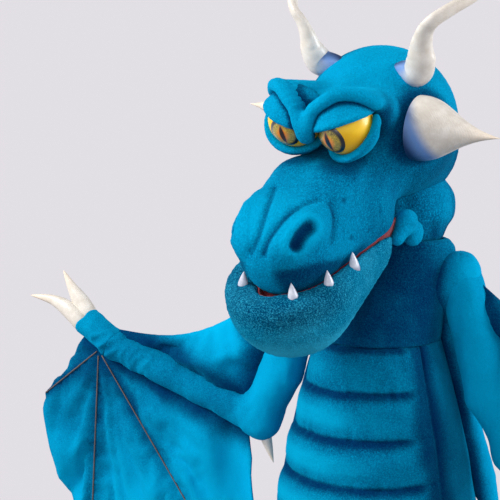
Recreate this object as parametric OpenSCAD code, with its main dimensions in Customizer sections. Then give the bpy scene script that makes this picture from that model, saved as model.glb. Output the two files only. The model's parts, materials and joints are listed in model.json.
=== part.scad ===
// Dragon hand puppet: a foam head with a hinged mouth, a tapered body sleeve and two bat wings.
// All sizes are in millimetres. The dragon faces -Y, its left side is +X, and the origin is the
// centre of the hand opening at the bottom of the body. The head's own frame has its origin on the
// mouth hinge, with the closed mouth plane at z = 0.

/* [Body] */
// Radius of the body at the hem
hem_r = 112; // [108:1:116]
// Height at which the quilted body ends and the soft chest starts
body_h = 296; // [292:1:298]
// Radius of the body where the soft chest starts
body_top_r = 62; // [58:1:63]
// Thickness of the foam walls
foam_t = 9; // [6:1:10]
// Thickness of the fleece
fleece_t = 2; // [1.5:0.5:2.5]
// Inner radius of the arm lining
liner_r = 42; // [36:1:44]
// Half angle of the quilted belly panel
belly_angle = 62; // [50:1:70]
// Height of one belly channel
belly_pitch = 43; // [40:1:45]

/* [Head] */
// Height of the mouth hinge above the hem
hinge_z = 421; // [415:1:430]
// Distance of the mouth hinge in front of the body's axis
hinge_y = 44; // [40:1:50]
// Turn of the head to the dragon's right
head_yaw = 12; // [0:1:20]
// Nod of the head below level
head_pitch = 25; // [18:1:28]
// Tilt of the head towards the dragon's left
head_roll = 8; // [0:1:10]
// Radius of the skull
skull_r = 75; // [72:1:77]
// Length of the snout in front of the hinge
snout_len = 164; // [160:1:168]
// Half width of the snout at the mouth
snout_w = 46; // [44:1:48]
// Radius of an eyeball
eye_r = 23; // [21:0.5:25]

/* [Jaw] */
// Half width of the lower jaw
jaw_w = 60; // [57:1:62]
// Depth of the lower jaw
jaw_depth = 55; // [51:1:58]
// Height of the lower lip above the mouth plane
lip_h = 9; // [6:1:11]

/* [Wings] */
// Radius of the stuffed upper arm
arm_r = 20; // [17:1:21]
// Radius of the stuffed forearm
forearm_r = 18; // [15:1:19]
// Radius of the bendable wire in the arms
wire_r = 1.5; // [1:0.25:2]
// Thickness of the wing cloth
web_t = 3; // [2:0.5:4]

/* [Hidden] */
SIDES = ["right", "left"];
HEAD_PAIRS = ["eyeball", "iris_lens", "upper_eyelid", "lower_eyelid", "brow_ridge", "crown_horn",
    "side_horn", "cheek_gusset"];
WING_PAIRS = ["shoulder", "upper_arm", "elbow_sleeve", "forearm", "hand_cuff", "claws", "elbow_spike",
    "wing_membrane", "front_web", "wing_ribs", "upper_arm_wire", "forearm_wire"];
NODES = concat(
    ["body_foam", "body_fleece", "belly_panel", "hem_band", "arm_lining", "lining_skirt", "chest_fleece",
     "neck_ring", "neck_sleeve"],
    ["skull_foam", "head_fleece", "upper_mouth_plate", "palate_lining", "finger_strap"],
    [for (side = SIDES) for (part = HEAD_PAIRS) str(side, "_", part)],
    ["jaw_foam", "jaw_fleece", "lower_mouth_plate", "jaw_lining", "thumb_strap", "lower_teeth"],
    [for (side = SIDES) for (part = WING_PAIRS) str(side, "_", part)]);

SMOOTH = 20;      // facets round the free-form blobs
ROUND = 48;       // facets round the true circles
gap = 0.3;        // space between glued or sewn layers
FLEECE = "deepskyblue";
FLEECE_DARK = "steelblue";
FOAM = "lightyellow";
IVORY = "antiquewhite";
LINING = "firebrick";

hinge = [-3, -hinge_y, hinge_z];
skull_c = [0, 53, 76];
nape_c = [0, 90, 36];
nape_r = 56;
cheek_c = [0, -34, 32];
cheek_r = [54, 50, 58];
nose_r = [snout_w, 52, 48];
nose_c = [0, nose_r.y - snout_len, 36];
nostril_c = [21, -118, 53];
nostril_r = [19, 33, 23];
bridge_c = [20, -66, 66];
bridge_r = [24, 30, 24];
neck_hole_c = [0, 56];
neck_hole_r = 46;
eye_c = [26.5, -43, 125];
lid_t = 4;
iris_r = 11.5;
iris_aim = [-0.2, -0.93, 0.3];
lip_gap = 3;      // between the snout and the lower lip around it
plate_t = 2.5;
lining_t = 1;
jaw_front_c = [0, -122, -6];
jaw_front_r = [jaw_w, 64, jaw_depth];
jaw_back_c = [0, -42, 4];
jaw_back_r = [jaw_w - 6, 38, jaw_depth - 10];
neck_c = [4, 14];
neck_r = 44;
neck_ring_t = 6;
neck_ring_z = [body_h + 2, 345];
// Rings of the chest and of the neck: centre, then half width and half depth.
chest_rings = [[[0, 0, body_h + gap], 63, 63], [[0, 6, 330], 66, 60], [[0, 14, 360], 70, 54],
    [[0, 16, 385], 72, 51], [[2, 15, 394], 66, 50], [[3, 16, 397], 60, 48]];
sleeve_rings = [[[4, 14, 346], 46, 46], [[4, 15, 390], 49, 40], [[4, 18, 398], 54, 42],
    [[4, 20, 409], 57, 46], [[4, 24, 421], 65, 51], [[4, 26, 440], 64, 51], [[5, 28, 456], 52, 42]];

shoulder = [80, 15, 365];
elbow = [141, 12, 190];
wrist = [333, 12, 255];
palm = [372, 12, 279];
shoulder_r = 20;
elbow_gap = 38;   // from the elbow to the end of each arm tube
wrist_gap = 2.3;
rib_r = 1.2;
rib_ends = [[438, 186], [372, 14], [204, 36]];   // x and z where the ribs end
web_y = 12;

// ---- shared geometry ----

// Keeps a free-form shape as one mesh.
module as_mesh() { resize([0, 0, 0]) children(); }

module ball(c, r) { translate(c) sphere(r, $fn = SMOOTH); }

module blob(c, r) { translate(c) scale(r) sphere(1, $fn = SMOOTH); }

module in_head() {
    translate(hinge) rotate([0, 0, -head_yaw]) rotate([head_pitch, 0, 0]) rotate([0, head_roll, 0])
        children();
}

// Left side as drawn, right side as its mirror image.
module on_side(side) { mirror([side == "right" ? 1 : 0, 0, 0]) children(); }

// Turns the Z axis towards b, starting at a.
module along(a, b) {
    d = b - a;
    translate(a) rotate([0, acos(d.z / norm(d)), atan2(d.y, d.x)]) children();
}

module rod(a, b, r) { along(a, b) cylinder(h = norm(b - a), r = r, $fn = ROUND); }

module cone_rod(a, b, r1, r2) { along(a, b) cylinder(h = norm(b - a), r1 = r1, r2 = r2, $fn = ROUND); }

function unit(v) = v / norm(v);
function lerp(a, b, t) = a + (b - a) * t;
function between(a, b, d) = a + unit(b - a) * d;

// Point at t from 0 to 1 on a smooth curve through the points p.
function curve(p, t) = let (
    n = len(p) - 1, i = min(floor(t * n), n - 1), u = t * n - i,
    a = p[max(i - 1, 0)], b = p[i], c = p[i + 1], d = p[min(i + 2, n)])
    0.5 * (2 * b + (c - a) * u + (2 * a - 5 * b + 4 * c - d) * u * u + (3 * b - a - 3 * c + d) * u * u * u);

// A closed tube whose centre line runs through the points p and whose radii run through r.
module sweep(p, r, rings = 14, sides = 12, up = [0, -1, 1]) {
    line = [for (i = [0:rings]) curve(p, i / rings)];
    radius = [for (i = [0:rings]) curve(r, i / rings)];
    points = [for (i = [0:rings]) let (
        t = unit(line[min(i + 1, rings)] - line[max(i - 1, 0)]), u = unit(cross(up, t)), v = cross(t, u))
        for (k = [0:sides - 1]) let (a = 360 * k / sides)
            line[i] + radius[i] * (cos(a) * u + sin(a) * v)];
    quads = [for (i = [0:rings - 1]) for (k = [0:sides - 1]) let (n = (k + 1) % sides)
        each [[i * sides + k, (i + 1) * sides + k, (i + 1) * sides + n],
              [i * sides + k, (i + 1) * sides + n, i * sides + n]]];
    ends = [[for (k = [0:sides - 1]) k], [for (k = [sides - 1:-1:0]) rings * sides + k]];
    polyhedron(points, concat(quads, ends), convexity = 4);
}

// ---- body ----

// Outer radius of the body at height z: full at the hem, narrow at the neck.
function body_r(z) = let (t = z / body_h) lerp(hem_r, body_top_r, pow(t, 2.2) * (1 + 0.35 * (1 - t)));

function body_line(inset, z0, z1, n = 14) =
    [for (i = [0:n]) let (z = lerp(z0, z1, i / n)) [body_r(z) - inset, z]];

function flip(p) = [for (i = [len(p) - 1:-1:0]) p[i]];

module body_wall(outside, inside, z0, z1) {
    polygon(concat(body_line(outside, z0, z1), flip(body_line(inside, z0, z1))));
}

hem_h = 14;
hem_in = hem_r - fleece_t - gap - foam_t;
skin_z = hem_h + gap;

module body_foam() {
    color(FOAM) rotate_extrude($fn = ROUND)
        body_wall(fleece_t + gap, fleece_t + gap + foam_t, skin_z, body_h);
}

module body_fleece() {
    half = belly_angle + gap;
    color(FLEECE) rotate([0, 0, half - 90]) rotate_extrude(angle = 360 - 2 * half, $fn = ROUND)
        body_wall(0, fleece_t, skin_z, body_h);
}

// Swell of the quilted channels: highest in the middle of each one, with a seam at the top edge.
channel_swell = 3.5;
function channel(z) = channel_swell * sqrt(abs(sin(180 * (body_h - z) / belly_pitch)));

module belly_panel() {
    n = 56;
    outside = [for (i = [0:n]) let (z = lerp(skin_z, body_h, i / n)) [body_r(z) + channel(z), z]];
    color(FLEECE_DARK) rotate([0, 0, -90 - belly_angle])
        rotate_extrude(angle = 2 * belly_angle, $fn = ROUND)
            polygon(concat(outside, flip(body_line(fleece_t, skin_z, body_h))));
}

module hem_band() {
    color(FLEECE) rotate_extrude($fn = ROUND) difference() {
        translate([hem_in, 0]) square([hem_r + 1 - hem_in, hem_h]);
        translate([hem_in + fleece_t + 5, 3]) square([hem_r - hem_in - 8 - fleece_t, hem_h - 6]);
    }
}

cone_top = 70;    // where the lining's skirt meets its sleeve
liner_t = 1.5;

module arm_lining() {
    color(LINING) rotate_extrude($fn = ROUND)
        translate([liner_r, cone_top]) square([liner_t, body_h - cone_top]);
}

// The lining's wide end, from the hem in to the sleeve.
module lining_skirt() {
    color(LINING) rotate_extrude($fn = ROUND) polygon([
        [hem_in - 3, skin_z], [hem_in - 1, skin_z],
        [liner_r + liner_t, cone_top - gap], [liner_r, cone_top - gap]]);
}

// ---- chest and neck ----

// A skin through oval rings, open at both ends; each ring is a centre, a half width and a half depth.
module ring_skin(rings, t) {
    n = 40;
    last = len(rings) - 1;
    loop = concat([for (k = [0:last]) [rings[k], 0]], [for (k = [last:-1:0]) [rings[k], t]]);
    points = [for (ring = loop) for (j = [0:n - 1]) let (a = 360 * j / n)
        ring[0][0] + [(ring[0][1] - ring[1]) * cos(a), (ring[0][2] - ring[1]) * sin(a), 0]];
    m = len(loop);
    faces = [for (k = [0:m - 1]) for (j = [0:n - 1]) let (i = (k + 1) % m, l = (j + 1) % n)
        each [[k * n + j, i * n + j, i * n + l], [k * n + j, i * n + l, k * n + l]]];
    polyhedron(points, faces, convexity = 6);
}

// The soft skin between the quilted body and the neck, hollowed where the jaw hangs.
module chest_fleece() {
    color(FLEECE_DARK) as_mesh() difference() {
        ring_skin(chest_rings, fleece_t);
        for (s = [-1, 1]) translate([s * shoulder.x, shoulder.y, shoulder.z])
            sphere(shoulder_r + gap, $fn = 32);
        in_head() jaw_solid(1);
    }
}

module neck_ring() {
    color(FOAM) translate([neck_c.x, neck_c.y, neck_ring_z[0]]) difference() {
        cylinder(h = neck_ring_z[1] - neck_ring_z[0], r = neck_r, $fn = ROUND);
        translate([0, 0, -1]) cylinder(h = 100, r = neck_r - neck_ring_t, $fn = ROUND);
    }
}

// The loose fleece that carries the head: it folds when the head moves.
module neck_sleeve() {
    color(FLEECE) as_mesh() difference() {
        ring_skin(sleeve_rings, fleece_t);
        in_head() {
            head_blobs(gap);
            jaw_solid(1);
            translate([-80, -220, -20]) cube([160, 220, 60]);
        }
    }
}

// ---- head, in its own frame ----

module head_blobs(g) {
    ball(skull_c, skull_r + g);
    ball(nape_c, nape_r + g);
    hull() {
        blob(cheek_c, cheek_r + [g, g, g]);
        blob(nose_c, nose_r + [g, g, g]);
    }
    for (s = [-1, 1]) hull() {
        blob([s * nostril_c.x, nostril_c.y, nostril_c.z], nostril_r + [g, g, g]);
        blob([s * bridge_c.x, bridge_c.y, bridge_c.z], bridge_r + [g, g, g]);
    }
}

// Everything below z, as far back as the hinge.
module below_mouth(z) { translate([-120, -250, z - 120]) cube([240, 256, 120]); }

module neck_hole(g) { translate([0, neck_hole_c.y, -60]) cylinder(h = 110, r = neck_hole_r + g, $fn = 32); }

module behind_neck() { translate([-120, 6, -130]) cube([240, 200, 118]); }

module eye_sockets(r) { for (s = [-1, 1]) ball([s * eye_c.x, eye_c.y, eye_c.z], r); }

module head_layer(out, in, floor_z) {
    difference() {
        head_blobs(-out);
        head_blobs(-in);
        below_mouth(floor_z);
        behind_neck();
        neck_hole(out);
        eye_sockets(eye_r + 2 + lid_t + gap);
    }
}

plate_z = lining_t + gap + 0.6;

module skull_foam() {
    color(FOAM) in_head() as_mesh()
        head_layer(fleece_t + gap, fleece_t + gap + foam_t, plate_z + plate_t + gap);
}

module head_fleece() { color(FLEECE) in_head() as_mesh() head_layer(0, fleece_t, 0.6); }

// A slab of the head's outline, for the mouth plate and its lining.
module head_slab(inset, z0, t) {
    intersection() {
        head_blobs(-inset);
        translate([-100, -220, z0]) cube([200, 216, t]);
    }
}

module upper_mouth_plate() {
    color("dimgray") in_head() as_mesh() head_slab(fleece_t + gap, plate_z, plate_t);
}

module palate_lining() { color(LINING) in_head() as_mesh() head_slab(fleece_t + gap, 0.6, lining_t); }

// An elastic loop that holds the fingers against a plate at height z, above it or below it.
module strap(y, z, half_w, h, length, direction) {
    t = 1.5;
    centre = half_w - h;
    translate([0, y, z]) mirror([0, 0, direction < 0 ? 1 : 0]) rotate([90, 0, 0])
        linear_extrude(length) difference() {
            hull() for (s = [-1, 1]) translate([s * centre, 0]) circle(h, $fn = 32);
            hull() for (s = [-1, 1]) translate([s * centre, 0]) circle(h - t, $fn = 32);
            translate([-100, -100]) square([200, 100]);
        }
}

module finger_strap() { color("black") in_head() strap(-52, plate_z + plate_t + 0.1, 25, 20, 30, 1); }

// ---- eyes ----

module at_eye() { translate(eye_c) children(); }

module aim(d) { rotate([0, acos(d.z / norm(d)), atan2(d.y, d.x)]) children(); }

module eyeball() { color("gold") at_eye() sphere(eye_r, $fn = ROUND); }

module iris_lens() {
    color("darkgoldenrod") at_eye() aim(iris_aim) intersection() {
        difference() {
            sphere(eye_r + 1.6, $fn = ROUND);
            sphere(eye_r + 0.05, $fn = ROUND);
        }
        cylinder(h = 2 * eye_r, r = iris_r, $fn = ROUND);
    }
}

// Slant of the lid edges: low at the nose, high at the temple.
lid_slant = -19;

lid_back = 10;    // the lids end this far behind the eye's centre

module lid_shell() {
    difference() {
        sphere(eye_r + 2 + lid_t, $fn = 32);
        sphere(eye_r + 2, $fn = 32);
        translate([-50, lid_back, -50]) cube(100);
    }
}

// The half of the head that one eye has to itself.
module eye_side() { translate([gap - eye_c.x, -50, -50]) cube([100, 100, 100]); }

module upper_eyelid() {
    color(FLEECE) at_eye() as_mesh() intersection() {
        lid_shell();
        eye_side();
        rotate([-8, lid_slant, 0]) translate([-60, -60, 7]) cube([120, 120, 60]);
    }
}

module lower_eyelid() {
    color(FLEECE) at_eye() as_mesh() intersection() {
        lid_shell();
        eye_side();
        rotate([22, lid_slant, 0]) translate([-60, -60, -66]) cube([120, 120, 60]);
    }
}

// The roll of fleece that runs over the eye.
module brow_ridge() {
    color(FLEECE) as_mesh() difference() {
        at_eye() intersection() {
            eye_side();
            rotate([58, lid_slant + 6, 0]) rotate([0, 0, 8]) rotate_extrude(angle = 164, $fn = 28)
                translate([eye_r + lid_t + 9, 0]) circle(6, $fn = 12);
        }
        head_blobs(gap);
        at_eye() sphere(eye_r + 2 + lid_t + gap, $fn = 28);
    }
}

// ---- horns ----

crown_line = [[24, 44, 128], [44, 46, 138], [57, 41, 155], [64, 38, 172], [73, 42, 188], [86, 58, 197],
    [98, 82, 202], [108, 108, 214]];
crown_radii = [13, 14, 11.5, 9.5, 8.8, 8, 5.8, 1.2];

module crown_horn() { color(IVORY) sweep(crown_line, crown_radii, rings = 22, sides = 14); }

side_horn_base = [58, 26, 92];
side_horn_r = 30;
side_horn_len = 78;

// Radius of the side horn at height h above its base: full at the root, hollowed towards the tip.
function side_horn_line(h) = let (t = h / side_horn_len)
    side_horn_r * (pow(1 - t, 1.15) * (0.72 + 0.28 * cos(180 * t)) + 0.012);

module side_horn() {
    n = 14;
    color(IVORY) along(side_horn_base, side_horn_base + [1, 0.05, -0.02]) rotate_extrude($fn = ROUND)
        polygon(concat([[0, 0]], [for (i = [0:n]) let (h = side_horn_len * i / n) [side_horn_line(h), h]],
            [[0, side_horn_len]]));
}

// ---- mouth corner ----

module cheek_gusset() {
    color(FLEECE) as_mesh() difference() {
        hull() {
            blob([50, 5, 2], [8, 10, 9]);
            blob([50, 13, -13], [8, 11, 13]);
        }
        head_blobs(gap);
        jaw_solid(gap);
    }
}

// ---- jaw, in the head's frame ----

module jaw_solid(g) {
    difference() {
        hull() {
            blob(jaw_front_c, jaw_front_r + [g, g, g]);
            blob(jaw_back_c, jaw_back_r + [g, g, g]);
        }
        translate([-100, -220, lip_h]) rotate([1.5, 0, 0]) cube([200, 260, 80]);
        translate([-100, max(g, 0) - 6, -100]) cube([200, 60, 200]);
    }
}

// The channel that the snout closes into: round its cheeks, and pointed in front of its nose.
module snout_room() {
    floor_z = -1.5;
    intersection() {
        head_blobs(lip_gap);
        translate([-100, -240, floor_z]) cube([200, 260, 60]);
    }
    translate([0, 0, floor_z]) linear_extrude(60) hull()
        for (c = trough) translate([0, c[0]]) circle(c[1], $fn = 32);
}

module jaw_layer(out, in, roof_z) {
    difference() {
        jaw_solid(-out);
        difference() {
            jaw_solid(-in);
            translate([-100, -220, roof_z]) cube([200, 240, 60]);
        }
        snout_room();
    }
}

lower_lining_z = -0.6 - lining_t - 1;
lower_plate_z = lower_lining_z - gap - plate_t;

module jaw_foam() {
    color(FOAM) in_head() as_mesh() difference() {
        jaw_layer(fleece_t + gap, fleece_t + gap + foam_t, lower_plate_z - gap);
        translate([-100, -220, lower_plate_z - gap]) cube([200, 240, 60]);
        translate([0, -14, -8]) rotate([-90, 0, 0]) cylinder(h = 30, r = 60, $fn = 32);
    }
}

module jaw_fleece() {
    color(FLEECE_DARK) in_head() as_mesh() difference() {
        jaw_solid(0);
        jaw_solid_below();
        snout_room();
    }
}

// Inside of the jaw's fleece: open under the lip so that foam, plate and lining fit in it.
module jaw_solid_below() {
    intersection() {
        jaw_solid(-fleece_t);
        translate([-100, -240, -120]) cube([200, 260, 120 + lower_lining_z + lining_t + gap]);
    }
}

module jaw_slab(z0, t) {
    intersection() {
        jaw_solid(-fleece_t - gap);
        translate([-100, -220, z0]) cube([200, 212, t]);
    }
}

module lower_mouth_plate() { color("dimgray") in_head() as_mesh() jaw_slab(lower_plate_z, plate_t); }

module jaw_lining() { color(LINING) in_head() as_mesh() jaw_slab(lower_lining_z, lining_t); }

module thumb_strap() { color("black") in_head() strap(-50, lower_plate_z - 0.1, 20, 18, 30, -1); }

trough = [[-150, 16], [-112, 39], [-60, 50], [-10, 49]];   // y and radius of the mouth's outline
tooth_h = 16;
tooth_r = 4.5;
tooth_places = [[28, -156], [46.5, -127], [51.5, -93]];   // x and y

module tooth() {
    n = 8;
    side = [for (i = [0:n]) let (t = i / n) [tooth_r * (1 - pow(t, 1.8)) + 0.25, t * tooth_h]];
    rotate_extrude($fn = ROUND) polygon(concat([[0, 0]], side, [[0, tooth_h]]));
}

module lower_teeth() {
    color("white") in_head() for (s = [-1, 1]) for (p = tooth_places)
        translate([s * p.x, p.y, lip_h - 3]) rotate([-6, -s * 8, 0]) tooth();
}

// ---- wings, drawn on the left ----

module shoulder_pad() { color(FLEECE) translate(shoulder) sphere(shoulder_r, $fn = ROUND); }

module arm_tube(a, b, r1, r2) {
    difference() {
        cone_rod(a, b, r1, r2);
        rod(between(a, b, -1), between(b, a, -1), wire_r + gap);
    }
}

module upper_arm() {
    color(FLEECE) arm_tube(between(shoulder, elbow, shoulder_r + 3), between(elbow, shoulder, elbow_gap),
        arm_r, arm_r - 1);
}

module forearm() {
    color(FLEECE) arm_tube(between(elbow, wrist, elbow_gap), between(wrist, elbow, wrist_gap),
        forearm_r + 1, forearm_r - 1);
}

// The soft bend between the two arm tubes.
module elbow_sleeve() {
    ends = [between(elbow, shoulder, elbow_gap - gap), between(elbow, wrist, elbow_gap - gap)];
    color(FLEECE) as_mesh() difference() {
        union() {
            for (end = ends) rod(elbow, end, forearm_r + 1);
            translate(elbow) sphere(forearm_r + 1, $fn = 32);
        }
        for (end = ends) rod(elbow, elbow + 2 * (end - elbow), wire_r + gap);
        translate(elbow) sphere(6, $fn = 16);
        along(elbow, elbow + spike_aim) cylinder(h = 60, r = spike_r + gap, $fn = ROUND);
    }
}

module upper_arm_wire() {
    color("silver") rod(between(shoulder, elbow, shoulder_r + 3), between(elbow, shoulder, 7), wire_r);
}

module forearm_wire() { color("silver") rod(between(elbow, wrist, 7), wrist, wire_r); }

cuff_t = 3;

// The fabric cuff that holds the claws.
module hand_cuff() {
    end = between(palm, wrist, -2);
    color(FLEECE) difference() {
        cone_rod(between(wrist, palm, wrist_gap), end, forearm_r - 1, forearm_r + 1);
        cone_rod(between(end, wrist, 16), between(end, wrist, -1),
            forearm_r - cuff_t - 1, forearm_r + 1 - cuff_t);
    }
}

claw_lines = [
    [[366, 9, 268], [392, 9, 288], [420, 9, 302], [455, 9, 306]],
    [[366, 15, 282], [384, 16, 300], [398, 16, 318], [410, 15, 338]]];

module claws() {
    color(IVORY) difference() {
        union() for (line = claw_lines)
            sweep(line, [7, 7.4, 5.4, 0.8], rings = 10, sides = 10, up = [0, 1, 0]);
        rod(wrist, between(palm, wrist, 11), forearm_r + 8);
    }
}

spike_aim = [-0.3, 0, -1];
spike_r = 7;

module elbow_spike() {
    side = [[spike_r, 0], [spike_r, 10], [spike_r - 1, 18], [3.6, 30], [0.4, 42]];
    color(IVORY) along(between(elbow, elbow + spike_aim, 9), elbow + 99 * spike_aim)
        rotate_extrude($fn = ROUND) polygon(concat([[0, 0]], side, [[0, 42]]));
}

// Outline of the cloth below the forearm, in x and z, with hollow arcs between the rib ends.
function scallop(a, b, sag, n = 8) = let (m = (a + b) / 2, d = unit([a.y - b.y, b.x - a.x]))
    [for (i = [1:n - 1]) let (t = i / n) lerp(a, b, t) + d * sag * sin(180 * t)];

module membrane_outline() {
    hand_end = [palm.x + 6, palm.z - forearm_r - 1];
    inner = [162, 52];
    arm_edge = [for (p = [between(elbow, wrist, elbow_gap - 6), wrist]) [p.x + 6, p.z - forearm_r - 2]];
    polygon(concat([[147, elbow.z - forearm_r - 22]], arm_edge, [hand_end, rib_ends[0]],
        scallop(rib_ends[0], rib_ends[1], -10), [rib_ends[1]],
        scallop(rib_ends[1], rib_ends[2], -22), [rib_ends[2]], [inner, [147, 100]]));
}

module wing_membrane() {
    color(FLEECE_DARK) translate([0, web_y + web_t / 2, 0]) rotate([90, 0, 0]) linear_extrude(web_t)
        membrane_outline();
}

module wing_ribs() {
    root = [wrist.x + 12, web_y - web_t / 2 - rib_r - 0.1, wrist.z - forearm_r - 8];
    color("sienna") for (e = rib_ends) {
        end = [e.x, root.y, e.y];
        rod(between(root, end, 6), between(end, root, 6), rib_r);
    }
}

// The cloth in front of the elbow, from the shoulder to the wrist.
module front_web() {
    top_in = [shoulder.x + 26, shoulder.z - 2];
    top_out = [wrist.x - 10, wrist.z + forearm_r + 3];
    top = [for (t = [0:0.1:1]) lerp(top_in, top_out, t) - [0, 34 * sin(180 * t)]];
    low_arm = [for (p = [wrist, elbow]) [p.x, p.z]];
    color(FLEECE) difference() {
        translate([0, web_y + web_t / 2, 0]) rotate([90, 0, 0]) linear_extrude(web_t)
            polygon(concat(top, [low_arm[0] + [-4, 0], low_arm[1] + [4, 6]]));
        cone_rod(between(elbow, wrist, -20), between(wrist, elbow, -20), forearm_r + 2, forearm_r + 2);
        cone_rod(between(shoulder, elbow, -5), between(elbow, shoulder, -20), arm_r + 2, arm_r + 2);
        translate(shoulder) sphere(shoulder_r + 3, $fn = ROUND);
    }
}

// ---- drawing ----

module centre_part(name) {
    if (name == "body_foam") body_foam();
    if (name == "body_fleece") body_fleece();
    if (name == "belly_panel") belly_panel();
    if (name == "hem_band") hem_band();
    if (name == "arm_lining") arm_lining();
    if (name == "lining_skirt") lining_skirt();
    if (name == "chest_fleece") chest_fleece();
    if (name == "neck_ring") neck_ring();
    if (name == "neck_sleeve") neck_sleeve();
    if (name == "skull_foam") skull_foam();
    if (name == "head_fleece") head_fleece();
    if (name == "upper_mouth_plate") upper_mouth_plate();
    if (name == "palate_lining") palate_lining();
    if (name == "finger_strap") finger_strap();
    if (name == "jaw_foam") jaw_foam();
    if (name == "jaw_fleece") jaw_fleece();
    if (name == "lower_mouth_plate") lower_mouth_plate();
    if (name == "jaw_lining") jaw_lining();
    if (name == "thumb_strap") thumb_strap();
    if (name == "lower_teeth") lower_teeth();
}

module head_part(part) {
    if (part == "eyeball") eyeball();
    if (part == "iris_lens") iris_lens();
    if (part == "upper_eyelid") upper_eyelid();
    if (part == "lower_eyelid") lower_eyelid();
    if (part == "brow_ridge") brow_ridge();
    if (part == "crown_horn") crown_horn();
    if (part == "side_horn") side_horn();
    if (part == "cheek_gusset") cheek_gusset();
}

module wing_part(part) {
    if (part == "shoulder") shoulder_pad();
    if (part == "upper_arm") upper_arm();
    if (part == "elbow_sleeve") elbow_sleeve();
    if (part == "forearm") forearm();
    if (part == "hand_cuff") hand_cuff();
    if (part == "claws") claws();
    if (part == "elbow_spike") elbow_spike();
    if (part == "wing_membrane") wing_membrane();
    if (part == "front_web") front_web();
    if (part == "wing_ribs") wing_ribs();
    if (part == "upper_arm_wire") upper_arm_wire();
    if (part == "forearm_wire") forearm_wire();
}

for (name = NODES) centre_part(name);
for (side = SIDES) {
    for (part = HEAD_PAIRS) in_head() on_side(side) head_part(part);
    for (part = WING_PAIRS) on_side(side) wing_part(part);
}
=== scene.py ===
"""The looks of the dragon hand puppet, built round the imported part.

Sizes are in millimetres and are turned into metres when a mesh is made. The head's own frame has its
origin on the mouth hinge, x to the dragon's left, y to the back and z up; the row frame is the part's.
Free-form skins are the zero surfaces of distance fields, and the wing cloth is simulated.
"""

import functools
import json
import math

import bpy
import numpy as np
from mathutils import Matrix, Vector
from mathutils.geometry import delaunay_2d_cdt


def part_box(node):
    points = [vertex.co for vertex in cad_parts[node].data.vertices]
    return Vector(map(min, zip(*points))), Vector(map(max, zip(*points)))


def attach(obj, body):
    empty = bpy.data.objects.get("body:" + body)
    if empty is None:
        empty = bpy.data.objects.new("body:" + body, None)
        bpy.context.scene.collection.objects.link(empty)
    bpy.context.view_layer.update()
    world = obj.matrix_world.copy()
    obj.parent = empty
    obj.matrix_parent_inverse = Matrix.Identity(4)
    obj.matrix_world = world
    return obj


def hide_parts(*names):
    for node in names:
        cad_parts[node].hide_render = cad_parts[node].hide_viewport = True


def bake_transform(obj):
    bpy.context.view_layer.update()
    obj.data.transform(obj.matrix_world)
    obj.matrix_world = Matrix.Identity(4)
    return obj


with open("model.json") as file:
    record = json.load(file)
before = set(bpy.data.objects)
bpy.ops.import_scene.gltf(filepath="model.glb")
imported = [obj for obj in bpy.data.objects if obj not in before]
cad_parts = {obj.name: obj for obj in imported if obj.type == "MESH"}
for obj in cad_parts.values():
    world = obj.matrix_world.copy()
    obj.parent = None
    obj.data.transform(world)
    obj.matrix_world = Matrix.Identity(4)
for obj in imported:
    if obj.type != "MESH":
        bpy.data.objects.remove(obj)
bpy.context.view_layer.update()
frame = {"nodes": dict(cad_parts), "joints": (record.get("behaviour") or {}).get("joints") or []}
MM = 0.001
SIDES = {"right": -1, "left": 1}


def rotation(*turns):
    """The matrix of some turns, each in degrees and about a named axis."""
    turn = Matrix.Identity(3)
    for degrees, axis in turns:
        turn = turn @ Matrix.Rotation(math.radians(degrees), 3, axis)
    return np.array(turn, float)


# ---- the puppet's own sizes ----

HINGE = np.array(next(j["pos_m"] for j in frame["joints"] if j["name"] == "jaw_open")) / MM
JAW_LIMIT, JAW_ROOM = 22, 2.0
HEAD_YAW, HEAD_PITCH, HEAD_ROLL = -12, 25, 8
HEAD_TURN = rotation((HEAD_YAW, "Z"), (HEAD_PITCH, "X"), (HEAD_ROLL, "Y"))

BODY_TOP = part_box("body_foam")[1].z / MM
HEM_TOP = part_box("hem_band")[1].z / MM
HEM_R, BODY_TOP_R = 112, 62
HEM_DEPTH, STITCH_H = 11.3, 11
BELLY_ANGLE, BELLY_PITCH = 62, 43
FLANK_TUCK, PANEL_THICK = 2.5, 2
SKULL = ((0, 53, 76), 75)
NAPE = ((0, 90, 36), 56)
CHEEK = ((0, -34, 32), (54, 50, 58))
NOSE = ((0, -112, 36), (46, 52, 48))
NOSTRIL = ((19.5, -118, 53), (18, 33, 23))
BRIDGE = ((20, -66, 66), (24, 30, 24))
CREST = ((0, -53, 125), (0, 4, 118), 12, 22)
EYE = (26.5, -43, 122)
EYE_R, EYE_ROOM, LID_R, LID_SLANT = 25.5, 3.4, 29.3, -19
IRIS_AIM = (-0.08, -0.98, -0.17)
IRIS_R, DOME_H = 14.3, 1.2
JAW_FRONT = ((0, -121, -9), (60, 64, 62))
JAW_BACK = ((0, -44, 1), (56, 40, 50))
LIP_H = 9
LIP_SLOPE = math.tan(math.radians(1.5))
TROUGH = ((-148, 14), (-112, 36), (-60, 46), (-10, 46))

SHOULDER = np.array((80.0, 15, 365))
ELBOW = np.array((141.0, 12, 190))
WRIST = np.array((333.0, 12, 255))
PALM = np.array((372.0, 12, 279))
ARM_R, FOREARM_R = 20, 18
RIB_ENDS = ((438, 186), (372, 14), (204, 36))
WEB_Y = 12


def to_row(points):
    """From the head's frame to the row frame."""
    return np.asarray(points, float) @ HEAD_TURN.T + HINGE


def to_head(points):
    return (np.asarray(points, float) - HINGE) @ HEAD_TURN


def lerp(a, b, t):
    return a + (b - a) * t


def smoothstep(x, low, high):
    t = np.clip((x - low) / (high - low), 0, 1)
    return t * t * (3 - 2 * t)


# ---- distance fields ----


def length(v):
    return np.sqrt(np.einsum("...i,...i->...", v, v))


def ball(p, centre, r):
    return length(p - np.asarray(centre, p.dtype)) - r


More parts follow.
